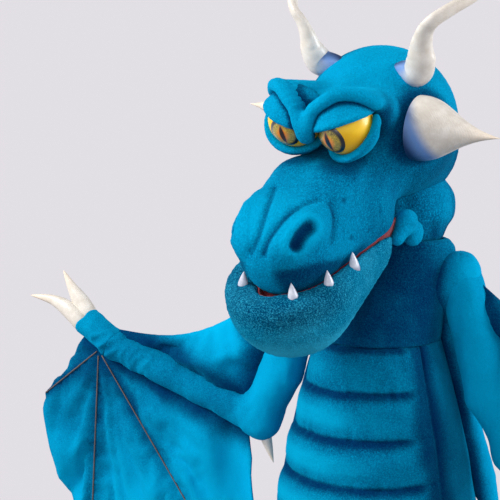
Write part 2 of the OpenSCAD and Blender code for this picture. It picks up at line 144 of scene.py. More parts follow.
def blob(p, centre, radii):
    """An ellipsoid's distance, near enough to mesh."""
    radii = np.asarray(radii, p.dtype)
    q = (p - np.asarray(centre, p.dtype)) / radii
    k0 = length(q)
    return k0 * (k0 - 1) / np.maximum(length(q / radii), 1e-6)


def swept_blob(p, a, b, steps=7):
    """The space that an ellipsoid fills as it goes from a to b and changes its radii."""
    (ca, ra), (cb, rb) = [tuple(np.asarray(v, float) for v in end) for end in (a, b)]
    return np.minimum.reduce([blob(p, lerp(ca, cb, t), lerp(ra, rb, t)) for t in np.linspace(0, 1, steps)])


def rod(p, a, b, ra, rb=None):
    """A rod with round ends whose radius goes from ra to rb."""
    a, b = np.asarray(a, p.dtype), np.asarray(b, p.dtype)
    t = np.clip((p - a) @ (b - a) / np.dot(b - a, b - a), 0, 1)
    return length(p - a - t[..., None] * (b - a)) - lerp(ra, ra if rb is None else rb, t)


def pairs(line):
    """Each two neighbours along a line."""
    return list(zip(line[:-1], line[1:]))


def path_distance(p, points, count=24):
    """Distance to a smooth line through the points."""
    line = smooth_line(points, count)
    return np.minimum.reduce([rod(p, a, b, 0) for a, b in pairs(line)])


def soft_min(a, b, k):
    h = np.maximum(k - np.abs(a - b), 0) / k
    return np.minimum(a, b) - h * h * k / 4


def soft_max(a, b, k):
    return -soft_min(-a, -b, k)


def mirrored(p, s):
    """The points as the left side's shapes see them, for the side with sign s."""
    return p if s > 0 else p * np.array((-1, 1, 1), p.dtype)


def folded(p):
    """The points with x made positive."""
    return np.abs(p) * (1, 0, 0) + p * (0, 1, 1)


def xyz(x, y, z):
    """Points from their coordinates, each an array or one number."""
    return np.stack(np.broadcast_arrays(x, y, z), -1)


def smooth_values(values, count):
    """Numbers along a smooth curve through the given numbers."""
    return smooth_line(np.array(values, float)[:, None], count)[:, 0]


def smooth_line(points, count):
    """Points along a smooth curve through the given points."""
    p = np.asarray(points, float)
    u = np.linspace(0, len(p) - 1, count)
    i = np.minimum(u.astype(int), len(p) - 2)
    f = (u - i)[:, None]
    a, b, c, d = (p[np.clip(i + k, 0, len(p) - 1)] for k in (-1, 0, 1, 2))
    return 0.5 * (2 * b + (c - a) * f + (2 * a - 5 * b + 4 * c - d) * f**2 + (3 * b - a - 3 * c + d) * f**3)


NOISE = np.random.default_rng(7).random((32, 32, 32)).astype(np.float32) * 2 - 1


def noise(p, size, seed=0):
    """Smooth noise from -1 to 1 whose lumps are about size across; size may differ along x, y and z."""
    q = np.asarray(p, float) / np.asarray(size, float) + 17.3 * seed + 400
    i = np.floor(q).astype(int)
    f = q - i
    f = f * f * (3 - 2 * f)
    total = 0
    for corner in np.ndindex(2, 2, 2):
        weight = np.prod([f[..., a] if corner[a] else 1 - f[..., a] for a in range(3)], axis=0)
        total = total + weight * NOISE[tuple((i[..., a] + corner[a]) % 32 for a in range(3))]
    return total


# ---- meshing ----


def sample(field, low, count, step, block=6):
    """The field on a grid. Blocks far from the surface get one rough value each."""
    blocks = [math.ceil(n / block) for n in count]
    centres = np.stack(np.meshgrid(*[low[a] + (np.arange(blocks[a]) + 0.5) * block * step for a in range(3)],
                                   indexing="ij"), -1).astype(np.float32)
    rough = field(centres)
    for axis in range(3):
        rough = np.repeat(rough, block, axis=axis)
    values = rough[: count[0], : count[1], : count[2]].copy()
    near = np.argwhere(np.abs(values) < block * step * 1.7)
    points = (np.asarray(low) + near * step).astype(np.float32)
    values[tuple(near.T)] = field(points)
    return values


def skin(field, low, high, step):
    """Vertices and quads of the field's zero surface inside a box: one vertex in each cell it crosses."""
    low = np.asarray(low, float)
    count = np.ceil((np.asarray(high) - low) / step).astype(int) + 1
    f = sample(field, low, count, step)
    cells = tuple(count - 1)
    total, hits = np.zeros(cells + (3,), np.float32), np.zeros(cells, np.float32)
    crossings = []
    for axis in range(3):
        a = np.take(f, range(count[axis] - 1), axis)
        b = np.take(f, range(1, count[axis]), axis)
        cross = (a < 0) != (b < 0)
        t = np.where(cross, a / np.where(cross, a - b, 1), 0)
        crossings.append((cross, a < 0))
        others = [o for o in range(3) if o != axis]
        for du, dv in np.ndindex(2, 2):
            window = [slice(None)] * 3
            window[others[0]] = slice(du, du + cells[others[0]])
            window[others[1]] = slice(dv, dv + cells[others[1]])
            c, along = cross[tuple(window)], t[tuple(window)]
            total[..., axis] += along
            total[..., others[0]] += c * du
            total[..., others[1]] += c * dv
            hits += c
    index = np.full(cells, -1)
    used = np.argwhere(hits > 0)
    index[tuple(used.T)] = np.arange(len(used))
    verts = low + step * (used + total[tuple(used.T)] / hits[tuple(used.T)][:, None])
    quads = []
    for axis, (cross, inside) in enumerate(crossings):
        u, v = (axis + 1) % 3, (axis + 2) % 3
        at = np.argwhere(cross)
        at = at[(at[:, u] > 0) & (at[:, v] > 0) & (at[:, u] < cells[u]) & (at[:, v] < cells[v])]
        corners = []
        for du, dv in ((1, 1), (0, 1), (0, 0), (1, 0)):
            cell = at.copy()
            cell[:, u] -= du
            cell[:, v] -= dv
            corners.append(index[tuple(cell.T)])
        quad = np.stack(corners, 1)
        quads.append(np.where(inside[tuple(at.T)][:, None], quad, quad[:, ::-1]))
    return settle(verts, field), np.concatenate(quads)


def slope(field, p, h=0.4):
    """The field's gradient."""
    steps = np.eye(3) * h
    return np.stack([field(p + s) - field(p - s) for s in steps], -1) / (2 * h)


def settle(verts, field, rounds=2):
    """Moves the vertices onto the zero surface."""
    for _ in range(rounds):
        g = slope(field, verts)
        move = field(verts)[:, None] * g / np.maximum(np.einsum("ij,ij->i", g, g), 0.1)[:, None]
        verts = verts - np.clip(move, -1, 1)
    return verts


def grid_faces(rows, columns, wrap=False):
    """Quads between rows of vertices; wrap joins each row's ends."""
    i, j = np.meshgrid(np.arange(rows - 1), np.arange(columns if wrap else columns - 1), indexing="ij")
    k = (j + 1) % columns
    return np.stack([i * columns + j, i * columns + k, (i + 1) * columns + k, (i + 1) * columns + j], -1).reshape(-1, 4)


def closed_tube(rows, sides):
    """The faces of a tube of rings, with a face over each end."""
    ends = [list(range(sides))[::-1], list(range((rows - 1) * sides, rows * sides))]
    return grid_faces(rows, sides, wrap=True).tolist() + ends


def tube(centres, radii, sides=24, flat=1.0, twist=0.0, up=(0, -1, 0.3)):
    """A closed tube along a line. flat is its thickness over its width, and twist turns it, in degrees."""
    centres = np.asarray(centres, float)
    ahead = np.gradient(centres, axis=0)
    ahead /= length(ahead)[:, None]
    u = np.cross(np.asarray(up, float), ahead)
    u /= length(u)[:, None]
    v = np.cross(ahead, u)
    n = len(centres)
    flat = np.broadcast_to(flat, n)
    turn = np.radians(np.broadcast_to(twist, n)) * np.linspace(0, 1, n)
    a = np.linspace(0, 2 * math.pi, sides, endpoint=False)
    x, y = np.cos(a)[None] * np.asarray(radii)[:, None], np.sin(a)[None] * (np.asarray(radii) * flat)[:, None]
    cos, sin = np.cos(turn)[:, None], np.sin(turn)[:, None]
    cu, cv = x * cos - y * sin, x * sin + y * cos
    verts = centres[:, None] + cu[..., None] * u[:, None] + cv[..., None] * v[:, None]
    return verts.reshape(-1, 3), closed_tube(n, sides)


def lathe(profile, sides=64):
    """A turned shape about z from points of radius and height; its first and last radii close it."""
    profile = np.asarray(profile, float)
    a = np.linspace(0, 2 * math.pi, sides, endpoint=False)
    ring = np.stack([np.cos(a), np.sin(a)], -1)
    verts = np.concatenate([profile[:, None, :1] * ring, np.repeat(profile[:, None, 1:], sides, 1)], -1)
    return verts.reshape(-1, 3), closed_tube(len(profile), sides)


def on_side(verts, faces, s):
    """Vertices and faces of a left-side shape as the side with sign s has them."""
    return (verts, faces) if s > 0 else (verts * (-1, 1, 1), [f[::-1] for f in faces])


def pointed_at(direction):
    """A rotation that turns z towards the direction."""
    return np.array(Vector(direction).to_track_quat("Z", "Y").to_matrix(), float)


def meshed(name, verts, faces):
    mesh = bpy.data.meshes.new(name)
    mesh.from_pydata((np.asarray(verts) * MM).tolist(), [], [list(map(int, f)) for f in faces])
    return mesh


def placed(name, data):
    """A new object in the scene."""
    obj = bpy.data.objects.new(name, data)
    bpy.context.scene.collection.objects.link(obj)
    return obj


def piece(name, verts, faces, material, slot, body=None, blend=None, replaces=(), marks=None, fill=None):
    """One named piece of the puppet, from vertices in millimetres in the row frame."""
    mesh = meshed(name, verts, faces)
    mesh.polygons.foreach_set("use_smooth", [True] * len(mesh.polygons))
    for mark, values in (marks or {}).items():
        layer = mesh.attributes.new(mark, "FLOAT", "POINT")
        layer.data.foreach_set("value", np.asarray(values, np.float32))
    mesh.materials.append(material)
    mesh.update()
    obj = placed(name, mesh)
    if blend:
        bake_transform(obj)
    else:
        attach(obj, body)
    if replaces:
        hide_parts(*replaces)
    return obj


def paint(shade=0.0, painted_light=0.0, curl=0.0):
    """The marks of a fleece piece for each vertex: navy painted shade, painted light toward the bright dye, and coarse
    pile.
    """
    return dict(zip(("shade", "painted_light", "curl"), np.broadcast_arrays(shade, painted_light, curl)))


def most(*values):
    """The largest of some arrays at each place."""
    return functools.reduce(np.maximum, values)


# ---- materials ----


class Nodes:
    """Builds one procedural material, or the world's background."""

    def __init__(self, owner, shader="Principled BSDF", place="Object"):
        self.owner = bpy.data.materials.new(owner) if isinstance(owner, str) else owner
        self.owner.use_nodes = True
        self.tree = self.owner.node_tree
        self.shader = self.tree.nodes[shader]
        self.place = self.add("ShaderNodeTexCoord").outputs[place]

    def add(self, kind, **settings):
        node = self.tree.nodes.new(kind)
        for key, value in settings.items():
            setattr(node, key, value)
        return node

    def feed(self, socket, value):
        if isinstance(value, bpy.types.NodeSocket):
            self.tree.links.new(value, socket)
        elif isinstance(value, tuple) and len(value) == 3 and len(socket.default_value) == 4:
            socket.default_value = (*value, 1)
        else:
            socket.default_value = value

    def set(self, **values):
        for key, value in values.items():
            self.feed(self.shader.inputs[key.replace("_", " ")], value)

    def noise(self, scale, detail=3.0, roughness=0.6, place=None):
        node = self.add("ShaderNodeTexNoise")
        values = {"Vector": place or self.place, "Scale": scale, "Detail": detail, "Roughness": roughness}
        for name, value in values.items():
            self.feed(node.inputs[name], value)
        return node.outputs["Fac"]

    def math(self, operation, a, b=0.0, c=0.0):
        node = self.add("ShaderNodeMath", operation=operation)
        for socket, value in zip(node.inputs, (a, b, c)):
            self.feed(socket, value)
        return node.outputs[0]

    def times(self, a, b):
        return self.math("MULTIPLY", a, b)

    def plus(self, a, b):
        return self.math("ADD", a, b)

    def minus(self, a, b):
        return self.math("SUBTRACT", a, b)

    def span(self, value, low, high, out_low=0.0, out_high=1.0):
        """Value from low to high mapped smoothly to out_low to out_high."""
        node = self.add("ShaderNodeMapRange", interpolation_type="SMOOTHSTEP")
        for socket, v in zip(node.inputs, (value, low, high, out_low, out_high)):
            self.feed(socket, v)
        return node.outputs["Result"]

    def mix(self, factor, a, b, blend="MIX"):
        node = self.add("ShaderNodeMix", data_type="RGBA", blend_type=blend)
        for socket, value in zip((node.inputs[0], node.inputs[6], node.inputs[7]), (factor, a, b)):
            self.feed(socket, value)
        return node.outputs[2]

    def mark(self, name):
        return self.add("ShaderNodeAttribute", attribute_name=name).outputs["Fac"]

    def axes(self, place=None):
        node = self.add("ShaderNodeSeparateXYZ")
        self.feed(node.inputs[0], place or self.place)
        return node.outputs

    def bump(self, height, strength, distance, under=None):
        node = self.add("ShaderNodeBump")
        for name, value in (("Strength", strength), ("Distance", distance), ("Height", height), ("Normal", under)):
            if value is not None:
                self.feed(node.inputs[name], value)
        return node.outputs["Normal"]


# Fleece tones; NAVY is the colour of the painted shade.
CYAN = (0.0, 0.25, 0.48)
BRIGHT = (0.0, 0.42, 0.73)
TEAL = (0.0, 0.12, 0.26)
NAVY = (0.0, 0.012, 0.075)


def fleece(name, pile=760, coarse=1.0, contrast=1.0, colour=CYAN, bright=BRIGHT, dark=TEAL):
    """Dyed fleece: a fine nap in small clumps, with the painted shade and painted light that the piece is marked with.

    The marks are shade, navy painted shade, partly the puppet's airbrush and partly shadow; a mark of painted
    light that lifts the colour toward the bright dye; and curl, where the pile is coarse."""
    n = Nodes(name)
    clump = n.noise(pile, 2.0, 0.6)
    nap = n.noise(pile * 2.6, 2.0, 0.7)
    tuft = n.noise(pile * 0.8, 3.0, 0.65)
    mottle = n.noise(26, 3.0, 0.55)
    curl = n.mark("curl")
    grain = n.math("MULTIPLY_ADD", clump, 0.5, n.times(nap, 0.5))
    grain = n.plus(grain, n.times(n.times(n.minus(tuft, 0.5), curl), 1.1))
    width = 0.20 / contrast
    tone = n.mix(n.span(grain, 0.5 - width, 0.5 + width), dark, colour)
    tone = n.mix(n.times(n.span(grain, 0.48, 0.74), 0.5 * contrast), tone, bright)
    tone = n.mix(n.times(n.span(mottle, 0.35, 0.7), 0.25), tone, bright)
    # painted light: lifts the colour toward the bright dye where the piece is marked as lit
    tone = n.mix(n.times(n.mark("painted_light"), 0.85), tone, bright)
    edge = n.plus(n.times(n.minus(grain, 0.5), 0.9), n.times(n.minus(mottle, 0.5), 0.35))
    ragged = n.minus(n.mark("shade"), edge)
    # painted shade: navy where the piece is marked shade, with a ragged edge from the pile
    tone = n.mix(n.times(n.span(ragged, 0.02, 0.98), 0.95), tone, NAVY)
    fuzz = n.bump(nap, 0.45 * coarse, 0.0010)
    lumps = n.bump(n.plus(clump, n.times(tuft, curl)), 0.55 * coarse, 0.0018, fuzz)
    n.set(Base_Color=tone, Roughness=0.95, Normal=lumps)
    n.set(Sheen_Weight=0.30, Sheen_Roughness=0.45, Sheen_Tint=(0.0, 0.62, 1.0))
    n.shader.inputs["Specular IOR Level"].default_value = 0.02
    return n.owner


def ivory(name, airbrush=0.0, warm=1.0):
    """Cast plastic horn: cream with a faint lengthwise grain; the shade mark is slate-blue at the root, partly the
    horn's own paint and partly painted shade.
    """
    n = Nodes(name)
    streak = n.noise(90, 4.0, 0.6)
    tone = n.mix(n.span(streak, 0.3, 0.7), (0.66, 0.61, 0.53), (0.78, 0.74, 0.67))
    tone = n.mix(n.times(n.mark("tip"), warm), tone, (0.86, 0.70, 0.52))
    blue = n.mix(n.span(n.mark("shade"), 0.45, 1.1), (0.13, 0.27, 0.58), (0.0, 0.01, 0.07))
    tone = n.mix(n.times(n.span(n.mark("shade"), 0.02, 0.5), airbrush), tone, blue)
    n.set(Base_Color=tone, Roughness=n.span(streak, 0.2, 0.8, 0.30, 0.42), Normal=n.bump(streak, 0.12, 0.0006))
    n.set(Coat_Weight=0.12, Coat_Roughness=0.35)
    return n.owner


def tooth_plastic():
    n = Nodes("tooth_plastic_grey_white")
    streak = n.noise(160, 3.0, 0.6)
    tone = n.mix(n.span(streak, 0.3, 0.7), (0.50, 0.54, 0.64), (0.74, 0.78, 0.86))
    # painted shade: blue-grey toward each tooth's root
    tone = n.mix(n.mark("shade"), tone, (0.18, 0.24, 0.36))
    n.set(Base_Color=tone, Roughness=0.32, Normal=n.bump(streak, 0.15, 0.0004), Coat_Weight=0.2)
    return n.owner


def amber_eye():
    """Dyed resin: deep amber, browner towards its lower rim with painted shade."""
    n = Nodes("amber_resin")
    cloud = n.noise(60, 3.0, 0.5)
    tone = n.mix(n.span(cloud, 0.3, 0.75), (0.92, 0.52, 0.0), (1.0, 0.66, 0.006))
    tone = n.mix(n.times(n.mark("shade"), 0.35), tone, (0.60, 0.24, 0.0))
    n.set(Base_Color=tone, Roughness=0.42, Coat_Weight=0.3, Coat_Roughness=0.18)
    return n.owner


def iris_glass():
    """A glass cabochon over a painted iris: slit pupil, orange flame, olive rays and a black ring."""
    n = Nodes("iris_glass")
    x, y, _ = n.axes()
    radius = IRIS_R * MM
    x, y = n.math("DIVIDE", x, radius), n.math("DIVIDE", y, radius)
    r = n.math("SQRT", n.plus(n.times(x, x), n.times(y, y)))
    rays = n.add("ShaderNodeCombineXYZ")
    n.feed(rays.inputs[0], n.times(n.math("ARCTAN2", y, x), 5.0))
    n.feed(rays.inputs[1], n.times(r, 1.4))
    streak = n.noise(2.6, 4.0, 0.7, rays.outputs[0])
    fleck = n.noise(900, 3.0, 0.6)
    tone = n.mix(n.span(streak, 0.35, 0.65), (0.10, 0.085, 0.01), (0.60, 0.44, 0.05))
    tone = n.mix(n.times(n.span(fleck, 0.5, 0.7), 0.5), tone, (0.75, 0.60, 0.15))
    flame = n.span(n.plus(r, n.times(streak, 0.3)), 0.42, 0.72, 0.85, 0.0)
    tone = n.mix(flame, tone, (0.85, 0.26, 0.01))
    ring = n.plus(r, n.times(streak, 0.06))
    tone = n.mix(n.span(ring, 0.76, 0.90), tone, (0.004, 0.008, 0.016))
    across, along = (n.math("ABSOLUTE", n.math("DIVIDE", v, size)) for v, size in ((x, 0.17), (y, 0.66)))
    slit = n.plus(across, n.math("POWER", along, 2.4))
    tone = n.mix(n.span(slit, 0.9, 1.5, 0.8, 0.0), tone, (0.45, 0.05, 0.0))
    tone = n.mix(n.span(slit, 0.8, 1.05, 1.0, 0.0), tone, (0.004, 0.001, 0.002))
    n.set(Base_Color=tone, Roughness=0.35, Coat_Weight=1.0, Coat_Roughness=0.03)
    return n.owner


def cloth(name, colour, second, weave=1400, sheen=0.3):
    """Plain woven or knitted cloth for linings."""
    n = Nodes(name)
    x, y, z = (n.math("SINE", n.times(axis, weave * 4)) for axis in n.axes())
    relief = n.plus(n.math("MULTIPLY_ADD", n.times(x, z), 0.25, n.times(y, 0.25)), n.noise(weave, 2.0, 0.6))
    tone = n.mix(n.span(relief, 0.1, 0.9), second, colour)
    n.set(Base_Color=tone, Roughness=0.85, Normal=n.bump(relief, 0.5, 0.0005))
    n.set(Sheen_Weight=sheen, Sheen_Roughness=0.4)
    return n.owner


def plain(name, colour, second, roughness=0.6, scale=300, metallic=0.0):
    """Foam, board, elastic or wire: two close tones in a fine grain."""
    n = Nodes(name)
    grain = n.noise(scale, 4.0, 0.65)
    n.set(Base_Color=n.mix(n.span(grain, 0.35, 0.65), second, colour), Roughness=roughness)
    n.set(Normal=n.bump(grain, 0.4, 0.0006), Metallic=metallic)
    return n.owner


M = {
    "head": fleece("blue_fleece_head", pile=680, contrast=1.4, coarse=1.2),
    "jaw": fleece("blue_fleece_jaw", pile=900, coarse=1.4, contrast=1.7, colour=(0.0, 0.27, 0.47),
                  bright=(0.05, 0.58, 0.85)),
    "body": fleece("blue_fleece_body", coarse=0.8, colour=(0.0, 0.20, 0.38), bright=(0.0, 0.37, 0.62),
                   dark=(0.0, 0.10, 0.22)),
    "wing": fleece("wing_fleece_smooth", pile=820, coarse=0.45, contrast=0.7, colour=(0.0, 0.30, 0.54),
                   dark=(0.0, 0.18, 0.36)),
    "horn": ivory("ivory_horn", airbrush=1.0, warm=0.3),
    "side_horn": ivory("ivory_side_horn", airbrush=1.0, warm=0.6),
    "claw": ivory("ivory_claw", warm=0.6),
    "tooth": tooth_plastic(),
    "amber": amber_eye(),
    "iris": iris_glass(),
    "mouth": cloth("deep_red_mouth_cloth", (0.34, 0.006, 0.018), (0.12, 0.0, 0.008)),
    "lining": cloth("red_arm_lining", (0.30, 0.02, 0.03), (0.12, 0.005, 0.01)),
    "rib": plain("grey_brown_cord", (0.16, 0.12, 0.11), (0.06, 0.05, 0.05), 0.7, 1500),
    "thread": plain("navy_thread", (0.0, 0.05, 0.14), (0.0, 0.02, 0.07), 0.7, 2500),
    "foam": plain("cream_foam", (0.80, 0.74, 0.52), (0.66, 0.60, 0.40), 0.95, 500),
    "board": plain("grey_board", (0.12, 0.12, 0.13), (0.07, 0.07, 0.08), 0.6, 400),
    "elastic": plain("black_elastic", (0.02, 0.02, 0.022), (0.008, 0.008, 0.01), 0.8, 1800),
    "wire": plain("soft_wire", (0.55, 0.56, 0.58), (0.42, 0.43, 0.45), 0.35, 700, metallic=1.0),
}

# ---- head ----

BROW = ((0, -66, 120), (5, -68, 130), (9, -65, 143), (17, -62, 150), (27, -56, 156), (37, -49, 156), (47, -41, 151),
        (54, -33, 142))
BROW_ROOT = (27, 10, 106)
BROW_R = 6.0
SLIT = ((32, -146, 59), (34, -139, 65), (36.5, -130, 68))
MOUND = ((24, -150, 54), (31, -137, 64), (37, -116, 68))
NOSE_FOLDS = {1: ((7, -160, 52), (11, -152, 65), (15, -143, 73), (22, -120, 81), (30, -104, 81)),
              -1: ((7, -161, 51), (2, -157, 60), (1, -148, 70), (3, -137, 78), (9, -118, 83), (16, -104, 84))}
NOSE_BACK_FOLD = ((40, -97, 74), (45, -103, 60), (47, -112, 46))
DIMPLES = ((43, -82, 70), (49, -87, 36), (53, -43, 39), (38, -60, 78), (52, -62, 30))


def at_eye(p, tilt, slant=LID_SLANT):
    """The points in the frame of a lid whose edge slants sideways and tips forward by tilt."""
    turn = rotation((slant, "Y"), (tilt, "X"))
    return (p - np.asarray(EYE, p.dtype)) @ turn.astype(p.dtype)


def head_blobs(p):
    """The head's main masses, blended."""
    d = soft_min(ball(p, *SKULL), ball(p, *NAPE), 16)
    d = soft_min(d, swept_blob(p, CHEEK, NOSE), 22)
    for s in (-1, 1):
        d = soft_min(d, swept_blob(mirrored(p, s), NOSTRIL, BRIDGE, 5), 12)
    return d


def dent(p, line, depth, width):
    """How deep a smooth groove along a line is at each point."""
    return depth * np.exp(-((path_distance(p, line, 10) / width) ** 2))


def brow_field(q):
    """The roll over the left eye and the forehead behind it."""
    line = smooth_line(BROW, 14)
    roll = np.minimum.reduce([rod(q, a, b, BROW_R) for a, b in pairs(line)])
    behind = np.minimum.reduce([rod(q, a + (0, 6, -2), BROW_ROOT, BROW_R - 1, 29) for a in line[2:]])
    return soft_min(roll, behind, 5)


def head_field(p):
    d = soft_min(head_blobs(p), rod(p, *CREST), 12)
    for s in (-1, 1):
        q = mirrored(p, s)
        d = soft_min(d, brow_field(q), 9)
        slit, mound = path_distance(q, SLIT, 6), path_distance(q, MOUND, 6)
        d = d + dent(q, NOSE_FOLDS[s], 2.4, 3.6) + dent(q, NOSE_BACK_FOLD, 2.2, 4)
        d = d - 3.0 * smoothstep(-mound, -21, -10) - 1.6 * np.exp(-(((slit - 9.5) / 4) ** 2))
        d = d + 8.5 * np.exp(-((slit / 5.2) ** 2))
        for place in DIMPLES:
            d = d + 1.0 * np.exp(-((ball(q, place, 0) / 3.2) ** 2))
        d = soft_max(d, -ball(q, EYE, EYE_R + EYE_ROOM), 2)
    floor = lerp(0.6, -12, smoothstep(p[..., 1], -2, 14))
    return soft_max(d, floor - p[..., 2], 5)


LIDS = {  # how each lid tips and slants, where it is cut and on which side, and its rolled edge
    "upper": {"tilt": -8, "slant": LID_SLANT, "cut": 5.6, "way": 1, "roll": (28.6, 6.5, 2.7), "k": 3},
    "lower": {"tilt": 36, "slant": -26, "cut": -10.5, "way": -1, "roll": (27.2, -11.5, 3.6), "k": 4},
}
LID_HALF, LID_BACK = 2.2, 12


def lid_field(q, tilt, slant, cut, way, roll, k):
    """A shell over the eyeball. roll is its edge's ring radius, height and thickness."""
    c = at_eye(q, tilt, slant)
    d = soft_max(np.abs(length(c) - LID_R) - LID_HALF, way * (cut - c[..., 2]), 3)
    edge = np.sqrt((np.hypot(c[..., 0], c[..., 1]) - roll[0]) ** 2 + (c[..., 2] - roll[1]) ** 2) - roll[2]
    return soft_max(soft_min(d, edge, k), q[..., 1] - EYE[1] - LID_BACK, 3)


def near(distance, width):
    """A mark that is 1 at distance 0 and fades over the width."""
    return np.exp(-((np.maximum(distance, 0) / width) ** 2))


def head_marks(p):
    """Navy painted shade in the hollows, round the eyes, under the snout and under the head, partly the puppet's
    airbrush and partly shadow; painted light on the crests, the nostril's rim and the snout's top.
    """
    layers = []
    for s in (-1, 1):
        q = mirrored(p, s)
        below = smoothstep(-at_eye(q, 22)[..., 2], -8, 14)
        horn = rod(q, SIDE_HORN_BASE, SIDE_HORN_BASE + (30, 0, 0), 0)
        layers += [1.05 * near(ball(q, EYE, 32), 15) * below,
                   0.8 * near(path_distance(q, NOSE_FOLDS[s], 10), 3.4),
                   0.85 * near(path_distance(q, NOSE_BACK_FOLD, 8), 4.5),
                   1.05 * near(path_distance(q, SLIT, 6) - 2.5, 4.2),
                   0.8 * near(horn - 30, 11),
                   0.75 * near(ball(q, (48, -12, 104), 0), 26),
                   0.8 * near(np.abs(ball(q, EYE, LID_R)), 3.5) * smoothstep(-p[:, 1], 44, 56)]
        layers += [0.75 * near(ball(q, place, 0), 3.6) for place in DIMPLES]
    between_brows = rod(p, (0, -66, 100), (0, -48, 134), 0)
    back = smoothstep(p[:, 1], -150, -85)
    low = smoothstep(-p[:, 2], lerp(-46, -30, back), lerp(-33, -14, back))
    under = low * smoothstep(np.abs(p[:, 0]), 6, 22) * smoothstep(-p[:, 1], 40, 80)
    behind = smoothstep(p[:, 1], -20, 20) * smoothstep(-p[:, 2], -95, -45)
    cheek = smoothstep(p[:, 1], -95, -45) * smoothstep(-p[:, 2], -92, -60)
    shade = most(*layers, 0.95 * near(between_brows, 12), 0.85 * under, 0.62 * behind, 0.45 * cheek)
    ring = np.abs(path_distance(mirrored(p, 1), SLIT, 6) - 9)
    crest = smoothstep(p[:, 2] + 0.25 * p[:, 1], 75, 125)
    painted_light = 0.5 * near(ring, 5) + 0.55 * crest + 0.55 * smoothstep(-p[:, 1], 95, 140) * smoothstep(p[:, 2], 45, 70)
    return paint(shade, np.clip(painted_light, 0, 1), 0.25)


def fuzzed(verts, field, amount):
    """Lifts the vertices a little at random, as the pile's clumps do."""
    g = slope(field, verts)
    g /= np.maximum(length(g), 1e-6)[:, None]
    return verts + g * (amount * (noise(verts, 3.0, 1) + noise(verts, 1.6, 2)))[:, None]


def fleece_skin(name, field, low, high, step, marks_at, pile, look, s=1, **rides):
    """A fleece skin over a left-side field: painted, roughened and put on the side with sign s."""
    verts, faces = skin(field, low, high, step)
    marks = marks_at(verts)
    verts, faces = on_side(fuzzed(verts, field, pile), faces, s)
    verts = verts if look == "wing" else to_row(verts)  # the wings' fields are in the row frame already
    piece(name, verts, faces, M[look], "blue_fleece", marks=marks, **rides)


def head_piece():
    fleece_skin("head_skin", head_field, (-88, -174, -18), (88, 156, 176), 1.6, head_marks, 0.22, "head", body="head",
                replaces=["head_fleece", "right_brow_ridge", "left_brow_ridge"], fill=0.9)


def lids(side, s):
    low, high = np.array(EYE) - 40, np.array(EYE) + (40, 18, 40)
    # painted shade in the crease under the brow, and where the lower lid meets the cheek and toward its outer rim; an
    # even mark of painted light over each lid
    shades = {"upper": lambda v: 0.95 * near(np.abs(brow_field(v)), 4.2),
              "lower": lambda v: 0.6 * near(np.abs(head_blobs(v)), 6) + 0.3 * smoothstep(ball(v, EYE, 0), 31, 33.5)}
    for which, shade in shades.items():
        fleece_skin(f"{side}_{which}_eyelid_fleece", functools.partial(lid_field, **LIDS[which]), low, high, 1.3,
                    lambda v, shade=shade: paint(shade(v), 0.45, 0.3), 0.15, "head", s, body="head",
                    replaces=[f"{side}_{which}_eyelid"], fill=0.8)


def eyes(side, s):
    """A resin eyeball, and the cabochon that is set on it, in its own frame for its painted iris."""
    centre = to_row(np.array(EYE) * (s, 1, 1))
    rise = np.linspace(-90, 90, 40)
    profile = np.stack([EYE_R * np.cos(np.radians(rise)) + 1e-3, EYE_R * np.sin(np.radians(rise))], -1)
    verts, faces = lathe(profile, 72)
    # painted shade on the eyeball's lower part
    marks = {"shade": smoothstep(-verts[:, 2], 4, 16)}
    piece(f"{side}_eye_resin", verts + centre, faces, M["amber"], "amber_eye", "head", replaces=[f"{side}_eyeball"],
          marks=marks)
    aim = np.array(IRIS_AIM) * (s, 1, 1)
    aim = HEAD_TURN @ (aim / length(aim))
    seat = math.sqrt(EYE_R**2 - IRIS_R**2)
    t = np.linspace(0, 1, 22)
    r = IRIS_R * np.cos(t * math.pi / 2) + 1e-3
    height = np.sqrt(EYE_R**2 - r**2) - seat + DOME_H * np.sin(t * math.pi / 2) ** 0.8
    verts, faces = lathe([(IRIS_R - 0.6, -0.5), (IRIS_R + 0.25, 0.1), *zip(r, height)], 72)
    turn = Matrix(pointed_at(aim).tolist()).to_4x4()
    obj = piece(f"{side}_iris_cabochon", verts, faces, M["iris"], "eye_glass", "head", replaces=[f"{side}_iris_lens"])
    obj.matrix_world = Matrix.Translation(Vector((centre + aim * seat) * MM)) @ turn


# ---- horns ----


def cast(name, verts, faces, s, look, body, shade, tip, replaces):
    """A cast plastic piece on the side with sign s, with its airbrushed shade and its warm tip."""
    verts, faces = on_side(verts, faces, s)
    verts = to_row(verts) if body == "head" else verts
    piece(name, verts, faces, M[look], "ivory_plastic", body, replaces=replaces, marks={"shade": shade, "tip": tip})


CROWN_LINE = ((14, 46, 126), (34, 45, 137), (52, 43, 139), (59, 41, 152), (61, 40, 165), (66, 40, 180), (74, 42, 190),
              (86, 58, 197), (98, 82, 202), (107, 106, 213))
CROWN_RADII = (4, 9, 13.5, 13.2, 10.6, 8.0, 7.0, 6.8, 5.2, 1.0)
CROWN_FLAT = (0.75, 0.8, 0.95, 0.8, 0.7, 0.66, 0.66, 0.7, 0.8, 1.0)
SIDE_HORN_BASE = np.array((58.0, 26, 92))
SIDE_HORN_R, SIDE_HORN_LEN = 30, 80
SIDE_HORN_PROFILE = (1.0, 0.98, 0.88, 0.70, 0.50, 0.32, 0.18, 0.08, 0.012)


